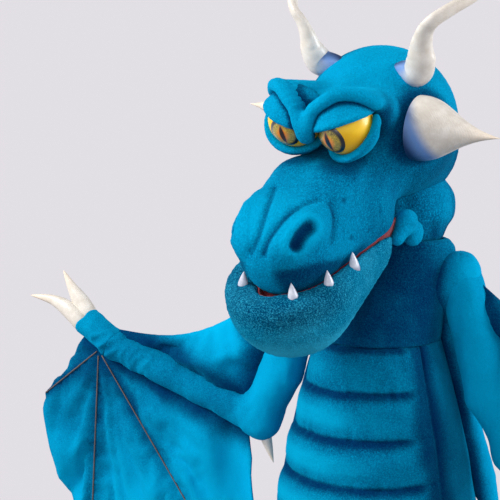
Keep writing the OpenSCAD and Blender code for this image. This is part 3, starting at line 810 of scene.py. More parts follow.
def crown_horn(side, s):
    """A twisted oval tube with faint rings, painted slate-blue at its root, partly the horn's own paint and partly
    painted shade.
    """
    n, sides = 90, 40
    radii, flat = smooth_values(CROWN_RADII, n), smooth_values(CROWN_FLAT, n)
    verts, faces = tube(smooth_line(CROWN_LINE, n), radii, sides, flat, twist=70, up=(0, -1, 0.2))
    t = np.repeat(np.linspace(0, 1, n), sides)
    a = np.tile(np.linspace(0, 2 * math.pi, sides, endpoint=False), n)
    rings = 0.14 * np.repeat(np.sin(np.linspace(0, 75, n)), sides) * smoothstep(t, 0.2, 0.4)
    verts = verts + rings[:, None]
    shade = 0.85 * smoothstep(-t, -0.26, -0.10) * (0.65 + 0.35 * np.cos(2 * a)) + 0.12 * (1 - smoothstep(t, 0.2, 0.5))
    cast(f"{side}_crown_horn_cast", verts, faces, s, "horn", "head", shade, smoothstep(t, 0.6, 1),
         [f"{side}_crown_horn"])


def side_horn(side, s):
    """A turned cone with a fine thread of ridges."""
    n = 260
    t = np.linspace(0, 1, n)
    r = smooth_values(SIDE_HORN_PROFILE, n) * SIDE_HORN_R
    ridge = 0.16 * np.sin(t * SIDE_HORN_LEN / 1.25 * 2 * math.pi) * smoothstep(1 - t, 0.05, 0.4)
    verts, faces = lathe(np.stack([r + ridge, t * SIDE_HORN_LEN], -1), 96)
    verts = verts @ pointed_at((1, 0.05, -0.02)).T + SIDE_HORN_BASE
    along = np.repeat(t, 96)
    _, back, up = ((verts - SIDE_HORN_BASE) / SIDE_HORN_R).T
    # slate-blue at the root, partly the horn's own paint and partly painted shade, darker on its lower and front sides
    shade = 0.62 - 2.6 * along - 0.5 * up - 0.3 * back
    cast(f"{side}_side_horn_turned", verts, faces, s, "side_horn", "head", np.clip(shade, 0, 1),
         smoothstep(along, 0.5, 1), [f"{side}_side_horn"])


# ---- jaw and mouth ----


def trough_field(p):
    """The room that the snout closes into."""
    flat = p * np.array((1, 1, 0), p.dtype)
    outline = np.minimum.reduce([rod(flat, (0, ya, 0), (0, yb, 0), ra, rb) for (ya, ra), (yb, rb) in pairs(TROUGH)])
    d = soft_min(outline, head_blobs(p) - 1.2, 3)
    return np.maximum(d, -1.5 - p[..., 2])


def lip_top(p):
    return LIP_H + (p[..., 1] + 220) * LIP_SLOPE


def jaw_field(p):
    d = swept_blob(p, JAW_FRONT, JAW_BACK)
    d = soft_max(d, p[..., 2] - lip_top(p), 11)
    d = soft_max(d, p[..., 1] + 6, 4)
    return soft_max(d, -trough_field(p), 5)


def jaw_piece():
    verts, faces = skin(jaw_field, (-66, -192, -76), (66, -2, 20), 1.4)
    verts = fuzzed(verts, jaw_field, 0.4)
    # painted shade inside the lip, on the jaw's upper front under the snout and just below the lip; painted light on
    # the jaw's lower part, as from the pale floor
    inside = near(trough_field(verts), 3) * smoothstep(lip_top(verts) - verts[:, 2], 1, 6)
    rim = smoothstep(verts[:, 2], -24, -2) * smoothstep(-verts[:, 1], 90, 150)
    side_rim = near(verts[:, 2] - lip_top(verts) + 2, 6) * 0.5
    shade = np.maximum(0.95 * inside, 0.42 * rim + 0.3 * side_rim)
    painted_light = 0.75 * smoothstep(-verts[:, 2], 24, 46)
    curl = np.clip(0.4 + 0.6 * rim, 0, 1)
    piece("jaw_skin", to_row(verts), faces, M["jaw"], "blue_fleece", "jaw", replaces=["jaw_fleece"], fill=0.9,
          marks=paint(shade, painted_light, curl))


def lining_field(p):
    """A thin cloth that lines the mouth and stands a little way up inside the lip."""
    wall = trough_field(p) + 0.4
    d = np.maximum(wall, -(wall + 1.6))
    top = lip_top(p) - lerp(3.4, 1.4, smoothstep(p[..., 1], -125, -85))
    d = soft_max(d, p[..., 2] - top, 1.2)
    return np.maximum(np.maximum(d, p[..., 1] + 8), -1.0 - p[..., 2])


def mouth_lining():
    verts, faces = skin(lining_field, (-60, -175, -4), (60, -4, 22), 1.0)
    piece("mouth_lining_lower", to_row(verts), faces, M["mouth"], "mouth_lining", "jaw", replaces=["jaw_lining"])


TEETH = ((28, -156), (46.5, -127), (51.5, -93))
TOOTH_R, TOOTH_H = 4.9, 17.5


def teeth():
    """Three curved cones on each side, set into the lip."""
    t = np.linspace(0, 1, 18)
    profile = np.stack([TOOTH_R * (1 - t**1.9) + 0.18, t * TOOTH_H], -1)
    for side, s in SIDES.items():
        for i, (x, y) in enumerate(TEETH):
            verts, faces = lathe(profile, 36)
            verts[:, 1] += 1.6 * (verts[:, 2] / TOOTH_H) ** 2
            verts = verts @ rotation((-6, "X"), (-s * 8, "Y")).T
            # painted shade at each tooth's root, where it meets the lip
            shade = 0.8 * (1 - smoothstep(np.repeat(t, 36), 0.12, 0.4))
            piece(f"{side}_tooth_{i + 1}", to_row(verts + (s * x, y, LIP_H - 3.5)), faces, M["tooth"], "tooth_plastic",
                  "jaw", replaces=["lower_teeth"] if s > 0 and i == 0 else (), marks={"shade": shade})


def gusset_field(p):
    """Two stuffed lumps and a roll along the jaw, with a crease between them."""
    d = soft_min(blob(p, (51, 1, 5), (10, 12, 11)), blob(p, (51, 11, -14), (9, 12, 13)), 5)
    d = soft_min(d, rod(p, (50, 0, 2), (51, -18, -4), 9, 6.5), 6)
    return d + dent(p, ((58, -6, 4), (61, 4, -2), (60, 14, -3)), 1.6, 3)


def gusset(side, s):
    """The loose fold of fleece at the corner of the mouth."""
    hinge, up = HINGE * MM, HEAD_TURN[:, 2] * 14 * MM
    # painted shade where the fold meets the head, and an even mark of painted light
    fleece_skin(f"{side}_cheek_fold", gusset_field, (34, -26, -36), (68, 30, 22), 1.3,
                lambda v: paint(0.8 * near(np.abs(head_blobs(v)), 3.5), 0.35, 0.3), 0.22, "head", s,
                blend=("head", "jaw", tuple(hinge + up), tuple(hinge - up)), replaces=[f"{side}_cheek_gusset"],
                fill=0.5)


# ---- neck, chest and body ----

SLEEVE_RINGS = ((4, 14, 346, 46, 46), (4, 15, 390, 49, 40), (4, 18, 398, 54, 42), (4, 20, 409, 58, 46),
                (4, 24, 421, 65, 51), (4, 26, 440, 64, 51), (5, 28, 456, 52, 42))
CHEST_RINGS = ((0, 0, 296.3, 63, 63), (0, 6, 330, 66, 60), (0, 14, 360, 70, 54), (0, 16, 385, 72, 51),
               (2, 15, 394, 66, 50), (3, 16, 397, 60, 47), (3, 16, 392, 57, 44))


def loft(rings, rows, columns, swell):
    """A closed cloth tube through oval rings of centre, half width and half depth, open at both ends.

    swell gives how far each vertex moves outward."""
    line = smooth_line(rings, rows)
    a = np.linspace(0, 2 * math.pi, columns, endpoint=False)
    ring = np.stack([np.cos(a), np.sin(a)], -1)
    sheets = []
    for inset in (0, PANEL_THICK):
        xy = line[:, None, :2] + ring * (line[:, None, 3:] - inset)
        sheets.append(np.concatenate([xy, np.repeat(line[:, None, 2:3], columns, 1)], -1))
    verts = np.concatenate([sheets[0], sheets[1][::-1]]).reshape(-1, 3)
    out = verts[:, :2] - np.repeat(np.concatenate([line, line[::-1]])[:, :2], columns, axis=0)
    verts[:, :2] += out / length(out)[:, None] * swell(verts)[:, None]
    return verts, grid_faces(2 * rows + 1, columns, wrap=True) % len(verts)


def neck_sleeve():
    """Loose fleece from the neck ring up into the head."""
    def swell(v):
        folds = 2.2 * noise(v, (26, 26, 60), 3) + 1.2 * noise(v, (9, 9, 40), 4)
        return folds * smoothstep(v[:, 2], 350, 395)
    verts, faces = loft(SLEEVE_RINGS, 70, 150, swell)
    # painted shadow of the head, deepest low on the sleeve near the collar, and darker in random blotches
    shade = 0.6 * smoothstep(-verts[:, 2], -430, -398) + 0.35 * smoothstep(noise(verts, (14, 14, 40), 3), 0.0, -0.6)
    marks = paint(np.clip(shade, 0, 1), curl=0.4)
    piece("neck_sleeve_fleece", verts, faces, M["head"], "blue_fleece",
          blend=("neck", "head", (0.004, 0.014, 0.372), (0.004, 0.02, 0.435)), replaces=["neck_sleeve"], marks=marks)


def pushed_from(verts, field, room):
    """Cloth gives way: moves row-frame vertices out of a head-frame shape."""
    p = to_head(verts)
    d = field(p)
    g = slope(field, p)
    g /= np.maximum(length(g), 1e-6)[:, None]
    return to_row(p + g * np.maximum(room - d, 0)[:, None])


CHEST_SEAM = ((58, 34, 396), (51, 27, 364), (56, 30, 330), (65, 35, 300))


def chest():
    """The smooth fleece between the quilted belly and the collar."""
    def swell(v):
        seam = -2.6 * near(path_distance(folded(v), CHEST_SEAM, 14), 3.4)
        return seam + 1.1 * noise(v, (30, 30, 80), 5) * smoothstep(v[:, 2], 300, 330)
    verts, faces = loft(CHEST_RINGS, 90, 170, swell)
    q = folded(verts)
    for opening in np.linspace(0, JAW_LIMIT, 4):
        turn = rotation((opening, "X"))
        verts = pushed_from(verts, lambda p: jaw_field(p @ turn), JAW_ROOM)
    # painted shade along the seam and at the foot where the chest meets the belly, and painted shadow of the head over
    # the chest's front
    seam = near(path_distance(q, CHEST_SEAM, 14), 5)
    front, foot = smoothstep(-verts[:, 1], -30, 20), smoothstep(-verts[:, 2], -306, -298)
    marks = paint(most(0.85 * seam, 0.72 * front, 0.6 * foot), curl=0.7 * smoothstep(verts[:, 2], 380, 395))
    piece("chest_skin", verts, faces, M["body"], "blue_fleece", blend=("body", "neck", (0, 0, 0.3), (0, 0.01, 0.392)),
          replaces=["chest_fleece"], marks=marks)


def body_r(z):
    t = z / BODY_TOP
    return lerp(HEM_R, BODY_TOP_R, t**2.2 * (1 + 0.35 * (1 - t)))


def revolved(r_of, angles, rows):
    """A closed curved panel of the body; angles are in degrees from the dragon's front towards its left."""
    sheets = []
    th, z = np.meshgrid(np.radians(angles), np.linspace(HEM_TOP + 0.3, BODY_TOP, rows), indexing="ij")
    for r in (r_of(np.degrees(th), z), body_r(z) - PANEL_THICK):
        sheets.append(xyz(r * np.sin(th), -r * np.cos(th), z).reshape(-1, 3))
    n, m = th.shape
    outer = grid_faces(n, m)
    inner = outer[:, ::-1] + n * m
    grid = np.arange(n * m).reshape(n, m)
    rim = np.concatenate([grid[:, 0], grid[-1, 1:], grid[-2::-1, -1], grid[0, -2:0:-1]])
    after = np.roll(rim, -1)
    edge = np.stack([rim, rim + n * m, after + n * m, after], -1)
    return np.concatenate(sheets), np.concatenate([outer, inner, edge])


def groove(th, z):
    """Distance below each quilting seam, in millimetres, from 0 to the pitch; the seams sag a little."""
    place = xyz(th * 1.2, z / 43, 0)
    return (BODY_TOP - z + 2.2 * noise(place, (26, 1, 1), 29) + 3 * (th / BELLY_ANGLE) ** 2 - 1.5) % BELLY_PITCH


def belly():
    """Quilted channels, stitched down along level seams, fullest just below each seam's shadow."""
    def r_of(th, z):
        g = groove(th, z)
        t = g / BELLY_PITCH
        window = smoothstep(BELLY_ANGLE - np.abs(th), 0, 14)
        swell = 7.5 * np.sqrt(np.abs(np.sin(math.pi * t**0.8))) * (1 - 0.25 * t)
        place = xyz(th * 1.6, z, 0)
        pucker = 1.3 * noise(place, (6, 30, 9), 6) * near(np.minimum(g, BELLY_PITCH - g), 10)
        slack = 1.6 * noise(place, (34, 14, 9), 8) + 0.8 * noise(place, (14, 8, 9), 28)
        tuck = -2.2 * near(BELLY_ANGLE - np.abs(th), 2.2) - 1.5 * near(BODY_TOP - z, 1.5)
        return body_r(z) + swell * (0.25 + 0.75 * window) - 1.2 + pucker + slack + tuck
    verts, faces = revolved(r_of, np.linspace(-BELLY_ANGLE, BELLY_ANGLE, 170), 260)
    th = np.degrees(np.arctan2(verts[:, 0], -verts[:, 1]))
    g = groove(th, verts[:, 2])
    # painted shade: the shadow of each channel under its seam, the side away from the key light, the panel's other edge
    # and its upper part under the head; painted light on the middle of each channel, most on the side toward the key
    # light and low down
    seam = np.maximum(near(g, 8), 0.9 * near(BELLY_PITCH - g, 3.5))
    drift = 6 * noise(verts, (40, 40, 30), 21)
    right = smoothstep(th + drift, 38, 52)
    shade = most(0.92 * seam * (1 - 0.5 * right), 0.78 * right, 0.5 * near(BELLY_ANGLE + th, 3),
                 0.38 * smoothstep(verts[:, 2], 215, 290))
    painted_light = 0.75 * smoothstep(g, 9, 20) * smoothstep(BELLY_PITCH - g, 6, 18) * smoothstep(-th, -30, 20)
    marks = paint(shade, painted_light * (1 - 0.6 * smoothstep(verts[:, 2], 200, 290)), 0.3)
    piece("belly_quilt", verts, faces, M["body"], "belly_fleece", "body", replaces=["belly_panel"], fill=0.6,
          marks=marks)


def flanks():
    """The rest of the body's fleece, in soft lengthwise waves."""
    def r_of(th, z):
        place = xyz(th * 1.6, z, 0)
        tuck = np.minimum(th - BELLY_ANGLE, 360 - BELLY_ANGLE - th)
        back_seam = -2.0 * near(np.abs(th - 180), 1.3)
        waves = 1.6 * noise(place, (30, 120, 9), 9) + 0.6 * noise(place, (9, 30, 9), 10)
        return body_r(z) + waves - 3.2 * smoothstep(-tuck, -FLANK_TUCK, 1) + back_seam
    verts, faces = revolved(r_of, np.linspace(BELLY_ANGLE - FLANK_TUCK, 360 - BELLY_ANGLE + FLANK_TUCK, 250), 150)
    th = np.degrees(np.arctan2(verts[:, 0], -verts[:, 1])) % 360
    edge = np.minimum(np.abs(th - BELLY_ANGLE), np.abs(360 - BELLY_ANGLE - th))
    # painted shade in the creases where the flanks meet the belly and along the back seam, with a little over all
    shade = np.maximum(0.75 * near(edge, 11), 0.6 * near(np.abs(th - 180), 1.8)) + 0.12
    piece("body_flanks", verts, faces, M["body"], "blue_fleece", "body", replaces=["body_fleece"], fill=0.6,
          marks=paint(shade))


def hem():
    """A rolled hem with a row of stitches above its fold."""
    hem_in = HEM_R - HEM_DEPTH
    a = np.linspace(0, 2 * math.pi, 28, endpoint=False)
    mid, half = (hem_in + HEM_R + 1) / 2, (HEM_R + 1 - hem_in) / 2
    wide, high = (np.sign(v) * np.abs(v) ** 0.55 for v in (np.cos(a), np.sin(a)))
    th = np.linspace(0, 2 * math.pi, 240, endpoint=False)[:, None]
    wave = 0.5 * noise(xyz(60 * np.cos(th + 0 * a), 60 * np.sin(th + 0 * a), 0), 9, 11)
    r = mid + half * wide + wave * (half * wide > 0)
    verts = xyz(r * np.sin(th), -r * np.cos(th), HEM_TOP / 2 + HEM_TOP / 2 * high).reshape(-1, 3)
    faces = grid_faces(241, 28, wrap=True) % len(verts)
    # painted shade along the hem's top, where it meets the body's fleece
    piece("hem_roll", verts, faces[:, ::-1], M["body"], "blue_fleece", "body", replaces=["hem_band"], fill=0.5,
          marks=paint(0.4 * near(HEM_TOP - verts[:, 2], 3)))
    u = np.linspace(0, 2 * math.pi, 181)
    stitch_row("hem_stitches", xyz(HEM_R * np.sin(u), -HEM_R * np.cos(u), STITCH_H), "body")


def stitch_row(name, path, body, r=0.45):
    """Short thread stitches, one for each second step along the path."""
    verts, faces = [], []
    for a, b in zip(path[:-1:2], path[1::2]):
        u = np.linspace(0, 1, 5)[:, None]
        v, f = tube(a + (b - a) * u, r * np.sqrt(np.sin(math.pi * (0.12 + 0.76 * u[:, 0]))), 6)
        f = [[i + len(verts) * 30 for i in face] for face in f]
        verts.append(v)
        faces += f
    piece(name, np.concatenate(verts), faces, M["thread"], "blue_fleece", body)


# ---- wings ----


def toward(a, b, distance):
    return a + (b - a) / length(b - a) * distance


HAND_AIM = (PALM - WRIST) / length(PALM - WRIST)


WRIST_FOLDS = (((296, -7, 262), (308, -9, 248), (312, -3, 228)), ((306, -4, 272), (322, -8, 260), (340, -6, 250)),
               ((278, -8, 250), (292, -8, 238), (300, -1, 222)), ((330, -4, 276), (340, -8, 266), (352, -6, 260)))


SLACK = (110, 8, 245)


def arm_field(p):
    """The stuffed arm from the shoulder round the elbow to the wrist."""
    upper = rod(p, SHOULDER, ELBOW, ARM_R, ARM_R - 1)
    fore = rod(p, ELBOW, WRIST, FOREARM_R + 1, FOREARM_R - 1.5)
    hand = rod(p, WRIST, toward(PALM, WRIST, -4), FOREARM_R - 1.5, FOREARM_R - 1)
    slack = np.minimum(rod(p, SHOULDER + (5, -2, -40), SLACK, 15, 20), rod(p, SLACK, ELBOW + (-6, 0, 16), 20, 17))
    d = soft_min(soft_min(soft_min(upper, slack, 12), fore, 16), hand, 8)
    wrinkle = 1.5 * noise(p, (13, 40, 30), 12) + 0.8 * noise(p, (7, 20, 18), 13)
    along = 1.3 * noise(p, (60, 14, 12), 14)
    for fold in WRIST_FOLDS:
        gap = path_distance(p, fold, 10)
        d = d + 3.2 * np.exp(-((gap / 3) ** 2)) - 1.4 * np.exp(-(((gap - 6.5) / 3) ** 2))
    elbow = near(ball(p, ELBOW + (10, 0, 16), 0), 24)
    return d + wrinkle * 0.7 + along * 0.6 + elbow * 2.2 * noise(p, (7, 20, 9), 15)


def cuff_field(p):
    """The open cuff past the wrist, with a ragged end."""
    end = toward(PALM, WRIST, -4)
    reach = (p - end) @ HAND_AIM.astype(p.dtype)
    notch = 2.6 * noise(p, (9, 9, 9), 16)
    d = soft_max(arm_field(p), reach + notch, 2)
    hollow = np.maximum(rod(p, toward(end, WRIST, 15), end + 30 * HAND_AIM, FOREARM_R - 4.2), -reach - 14)
    return soft_max(soft_max(d, -hollow, 1.2), -((p - WRIST) @ HAND_AIM.astype(p.dtype)) + 2, 2)


def sleeve_field(p):
    """The upper arm and forearm as far as the wrist, with room for the shoulder."""
    d = soft_max(arm_field(p), (p - WRIST) @ HAND_AIM.astype(p.dtype) - 3.5, 2)
    return soft_max(d, -ball(p, SHOULDER, 14), 2)


def arm_marks(p):
    """Painted shade under the arm, along the forearm and in the wrist's folds; painted light on the upper arm's front
    and on the hand.
    """
    fold = np.maximum.reduce([near(path_distance(p, f, 6), 3.6) for f in WRIST_FOLDS])
    under = near(rod(p, ELBOW + (0, 0, -21), WRIST + (0, 0, -19), 0), 8)
    dusk = 0.42 * smoothstep(p[:, 0], 120, 190) * (1 - 0.5 * smoothstep(p[:, 0], 330, 380))
    upper, hand = 1 - smoothstep(p[:, 0], 130, 180), smoothstep(p[:, 0], 330, 370)
    painted_light = 0.4 * smoothstep(-p[:, 1], -10, 10) * upper + 0.3 * hand
    return paint(most(0.85 * fold, 0.8 * under, dusk), painted_light)


def elbow_blend(side, s, reach):
    """Bodies and the two points between which the cloth bends at the elbow."""
    d = (WRIST - ELBOW) / length(WRIST - ELBOW) - (SHOULDER - ELBOW) / length(SHOULDER - ELBOW)
    d = d / length(d) * reach
    mirror = np.array((s, 1, 1)) * MM
    return f"{side}_upper_wing", f"{side}_outer_wing", tuple((ELBOW - d) * mirror), tuple((ELBOW + d) * mirror)


def arm(side, s):
    covered = [f"{side}_{n}" for n in ("upper_arm", "elbow_sleeve", "forearm")]
    fleece_skin(f"{side}_arm_skin", sleeve_field, (52, -18, 160), (340, 58, 392), 2.0, arm_marks, 0.12, "wing", s,
                blend=elbow_blend(side, s, 26), replaces=covered, fill=0.8)
    fleece_skin(f"{side}_cuff_fleece", cuff_field, (322, -16, 222), (402, 42, 312), 1.4, arm_marks, 0.12, "wing", s,
                body=f"{side}_outer_wing", replaces=[f"{side}_hand_cuff"], fill=0.7)


CLAW_LINES = (((362, 9, 262), (392, 9, 288), (420, 9, 302), (455, 9, 306)),
              ((362, 14, 276), (384, 16, 300), (398, 16, 318), (410, 15, 338)))
CLAW_R = 11.5


def claws(side, s):
    for i, points in enumerate(CLAW_LINES):
        n, sides = 90, 40
        t = np.linspace(0, 1, n)
        radii = CLAW_R * (1 - t**1.7) * (0.9 + 0.18 * np.sin(math.pi * t)) * (0.6 + 0.4 * smoothstep(t, 0, 0.25)) + 0.5
        verts, faces = tube(smooth_line(points, n), radii, sides, flat=0.82, up=(0, 1, 0))
        cast(f"{side}_claw_{i + 1}", verts, faces, s, "claw", f"{side}_outer_wing", np.zeros(len(verts)),
             np.repeat(smoothstep(t, 0.5, 1), sides), [f"{side}_claws"] if i == 0 else ())


SPIKE_AIM = (-0.3, 0, -1.0)
SPIKE_R, SPIKE_LEN, SPIKE_ROOT = 7.4, 46, 4


def spike(side, s):
    t = np.linspace(0, 1, 40)
    verts, faces = lathe(np.stack([SPIKE_R * (1 - t**1.7) + 0.3, SPIKE_ROOT + t * SPIKE_LEN], -1), 40)
    verts[:, 0] -= 2.0 * ((verts[:, 2] - SPIKE_ROOT) / SPIKE_LEN) ** 2
    verts = verts @ pointed_at(SPIKE_AIM).T + ELBOW
    cast(f"{side}_elbow_spike_cast", verts, faces, s, "claw", f"{side}_upper_wing", np.zeros(len(verts)),
         np.repeat(smoothstep(t, 0.5, 1), 40), [f"{side}_elbow_spike"])


RIB_ROOT, RIB_R = np.array((WRIST[0] + 24, WRIST[2] - 8)), 0.8
CLOTH_STEP, CLOTH_THICK = 5.5, 1.8
BULGE, CREASE, HANG_FRAMES = 12, 8.5, 40


def resampled(points, step):
    """Points about a step apart along a chain of straight lines, without its last point."""
    out = []
    for a, b in pairs(points):
        a, b = np.asarray(a, float), np.asarray(b, float)
        n = max(1, round(length(b - a) / step))
        out += [a + (b - a) * i / n for i in range(n)]
    return out


def scallop(a, b, sag, n=8):
    """Points on a hollow arc from a to b, without its ends."""
    a, b = np.asarray(a, float), np.asarray(b, float)
    d = np.array((a[1] - b[1], b[0] - a[0])) / length(b - a)
    return [lerp(a, b, i / n) + d * sag * math.sin(math.pi * i / n) for i in range(1, n)]


def inside_outline(points, outline):
    """Whether each point lies inside the closed outline."""
    x, y = points.T
    inside = np.zeros(len(points), bool)
    for (xa, ya), (xb, yb) in pairs([*outline, outline[0]]):
        span = (ya > y) != (yb > y)
        inside ^= span & (x < (xb - xa) * (y - ya) / (yb - ya + 1e-12) + xa)
    return inside


def line_gap(points, lines):
    """Distance from each flat point to the nearest of some straight lines."""
    best = np.full(len(points), 1e9)
    for a, b in lines:
        a, b = np.asarray(a, float), np.asarray(b, float)
        t = np.clip((points - a) @ (b - a) / ((b - a) @ (b - a)), 0, 1)[:, None]
        best = np.minimum(best, length(points - a - t * (b - a)))
    return best


def cut_cloth(outline, lines):
    """A flat triangle mesh of the outline, with edges along the given straight lines."""
    rim = np.array(resampled([*outline, outline[0]], CLOTH_STEP))
    edges = [(i, (i + 1) % len(rim)) for i in range(len(rim))]
    points = list(rim)
    for a, b in lines:
        chain = [*resampled([a, b], CLOTH_STEP), np.asarray(b, float)]
        edges += [(len(points) + i, len(points) + i + 1) for i in range(len(chain) - 1)]
        points += chain
    low, high = rim.min(0), rim.max(0)
    rows = np.arange(low[1], high[1], CLOTH_STEP * 0.866)
    columns = np.arange(low[0], high[0], CLOTH_STEP)
    fill = np.array([(x + (i % 2) * CLOTH_STEP / 2, z) for i, z in enumerate(rows) for x in columns])
    border = pairs([*rim, rim[0]])
    fill = fill[inside_outline(fill, rim) & (line_gap(fill, border) > CLOTH_STEP * 0.55)]
    if lines:
        fill = fill[line_gap(fill, lines) > CLOTH_STEP * 0.55]
    flat, _, faces = delaunay_2d_cdt([Vector(p) for p in [*points, *fill]], edges, [], 1, 1e-3)[:3]
    return np.array([tuple(v) for v in flat]), np.array(faces)


HANGING = {"vertex_group_mass": "pin", "quality": 6, "mass": 0.12, "tension_stiffness": 25, "compression_stiffness": 25,
           "shear_stiffness": 8, "bending_stiffness": 0.35, "air_damping": 2}


def simulated(verts, faces, pinned, slack):
    """The cloth after it has hung for HANG_FRAMES; it is larger than its pins allow by the slack."""
    obj = placed("hanging", meshed("hanging", verts, faces))
    obj.vertex_groups.new(name="pin").add(np.flatnonzero(pinned).tolist(), 1.0, "REPLACE")
    settings = obj.modifiers.new("hang", "CLOTH").settings
    for key, value in HANGING.items():
        setattr(settings, key, value)
    settings.shrink_min = -slack
    for number in range(1, HANG_FRAMES + 1):
        bpy.context.scene.frame_set(number)
    done = obj.evaluated_get(bpy.context.evaluated_depsgraph_get()).to_mesh()
    out = np.array([v.co for v in done.vertices]) / MM
    bpy.data.objects.remove(obj)
    bpy.context.scene.frame_set(1)
    return out


def thickened(verts, faces, thickness):
    """A closed sheet: the surface and a copy behind it, joined round the rim."""
    a, b, c = (verts[faces[:, i]] for i in range(3))
    normal = np.cross(b - a, c - a)
    total = np.zeros_like(verts)
    for i in range(3):
        np.add.at(total, faces[:, i], normal)
    total /= np.maximum(length(total), 1e-9)[:, None]
    n = len(verts)
    edges = {(face[i], face[(i + 1) % 3]): True for face in faces.tolist() for i in range(3)}
    rim = [[u, u + n, v + n, v] for u, v in edges if (v, u) not in edges]
    both = np.concatenate([verts + total * thickness / 2, verts - total * thickness / 2])
    return both, [*faces.tolist(), *(faces[:, ::-1] + n).tolist(), *rim]


def wing_cloth(name, s, outline, pins, ribs, slack, marks, node, **rides):
    """Cuts a wing's cloth, lets it hang from its pinned lines and hems it to a sheet."""
    flat, faces = cut_cloth(outline, ribs)
    gap = line_gap(flat, [*pins, *ribs])
    x, z = flat.T
    front = -BULGE * smoothstep(gap, 0, 40) * (0.6 + 0.4 * noise(xyz(x, 0, z), 40, 20))
    verts = xyz(x, WEB_Y + front + creases(flat, gap), z)
    verts = simulated(verts, faces, gap < 1.5, slack)
    marks = marks(flat, gap)
    verts, closed = on_side(*thickened(verts, faces, CLOTH_THICK), s)
    obj = piece(name, verts, closed, M["wing"], "wing_fleece", replaces=[node], **rides,
                marks={key: np.tile(value, 2) for key, value in marks.items()})


def creases(flat, gap):
    """Long soft folds that run out from the wrist, where the cloth starts."""
    out = flat - RIB_ROOT
    angle, reach = np.arctan2(out[:, 0], -out[:, 1]), length(out)
    wave = noise(xyz(angle * 9, 0, reach / 90), 1, 24) + 0.4 * noise(xyz(angle * 18, 0, reach / 70), 1, 25)
    return CREASE * wave * smoothstep(gap, 0, 26) * smoothstep(reach, 20, 110)


def flat_xz(p):
    return np.array((p[0], p[2]))


def membrane(side, s):
    """The cloth below the forearm, held by the arm and three ribs."""
    arm_line = [flat_xz(toward(ELBOW, WRIST, 14)) + (4, -8), flat_xz(WRIST) + (3, -8), flat_xz(PALM) + (2, -12)]
    arm_lines = pairs(arm_line)
    outline = [(147, 150), *arm_line, RIB_ENDS[0], *scallop(RIB_ENDS[0], RIB_ENDS[1], 14), RIB_ENDS[1],
               *scallop(RIB_ENDS[1], RIB_ENDS[2], -22), RIB_ENDS[2], (162, 52), (147, 100)]
    ribs = [[RIB_ROOT + (np.array(end) - RIB_ROOT) * t for t in (0.03, 0.985)] for end in RIB_ENDS]

    def marks(flat, gap):
        # painted shade along the ribs near their root, under the forearm and round the rib root, with random streaks;
        # painted light on the panels far from the root
        to_rib, to_arm = line_gap(flat, ribs), line_gap(flat, arm_lines)
        root = length(flat - RIB_ROOT)
        streak = noise(xyz(flat[:, 0], 0, flat[:, 1]), (24, 9, 60), 22)
        shade = most(0.8 * near(to_rib, 14) * (1 - 0.6 * smoothstep(root, 60, 220)), 0.9 * near(to_arm - 10, 20),
                     0.9 * near(root, 70), 0.45 * near(root - 60, 70) + 0.12 * streak)
        return paint(shade, 0.7 * smoothstep(root, 120, 210) * smoothstep(gap, 8, 30))

    wing_cloth(f"{side}_wing_cloth", s, outline, arm_lines, ribs, 0.05, marks, f"{side}_wing_membrane",
               body=f"{side}_outer_wing")
    for i, (a, b) in enumerate(ribs):
        x, z = (a + (b - a) * np.linspace(0, 1, 30)[:, None]).T
        verts, faces = tube(xyz(x * s, WEB_Y - 2 * RIB_R, z), np.full(30, RIB_R), 10, up=(0, 1, 0))
        piece(f"{side}_rib_{i + 1}", verts, faces, M["rib"], "rib_cord", f"{side}_outer_wing",
              replaces=[f"{side}_wing_ribs"] if i == 0 else ())


def front_cloth(side, s):
    """The cloth in front of the elbow, from the shoulder to the wrist."""
    top_in, top_out = np.array((SHOULDER[0] + 14, SHOULDER[2] - 2)), np.array((WRIST[0] - 6, WRIST[2] + FOREARM_R + 1))
    top = [lerp(top_in, top_out, t) - (0, 34 * math.sin(math.pi * t)) for t in np.linspace(0, 1, 14)]
    low = [flat_xz(WRIST) + (-4, 8), flat_xz(ELBOW) + (6, 8), flat_xz(SHOULDER) + (10, -10)]
    outline = [*top, *low]
    pins = [*pairs(top), *pairs(low), (low[-1], top[0]), (top[-1], low[0])]

    def marks(flat, gap):
        # painted shade under the arm with random streaks; painted light in streaks away from the arm
        arm = line_gap(flat, pairs(low))
        streak = noise(xyz(flat[:, 0] - 0.6 * flat[:, 1], 0, flat[:, 1]), (16, 9, 50), 23)
        shade = np.maximum(0.85 * near(arm - 14, 20), 0.16 + 0.30 * streak)
        return paint(shade, 0.9 * smoothstep(arm, 25, 70) * smoothstep(-streak, -0.5, 0.3))

    wing_cloth(f"{side}_front_cloth", s, outline, pins, [], 0.07, marks, f"{side}_front_web",
               blend=elbow_blend(side, s, 60))


ARMPIT_FOLD = (((70, 24, 352), 15), ((66, 31, 290), 12), ((76, 35, 240), 13), ((86, 39, 200), 13), ((98, 44, 150), 14),
               ((110, 46, 112), 8))


def shoulder_field(p):
    """The stuffed shoulder, and the fold of fleece that hangs from the armpit between flank and wing."""
    d = ball(p, SHOULDER, ARM_R + 1)
    d = soft_min(d, rod(p, (58, 15, 352), SHOULDER + (-4, 0, -4), 26, 19), 10)
    fold = np.minimum.reduce([rod(p, a, b, ra, rb) for (a, ra), (b, rb) in pairs(ARMPIT_FOLD)])
    return soft_min(d, fold, 12) + 1.3 * noise(p, (14, 18, 46), 26) + 0.6 * noise(p, (7, 9, 22), 27)


def shoulder_marks(v):
    # painted shade where the shoulder meets the body and on its inner side; painted light on its outer side
    inner = near(np.hypot(v[:, 0], v[:, 1]) - body_r(np.minimum(v[:, 2], BODY_TOP)) - 2, 9)
    shade = np.maximum(0.75 * inner, 0.5 * near(v[:, 0] - 62, 9)) + 0.10
    return paint(shade, 0.75 * smoothstep(v[:, 0], 70, 100), 0.3)


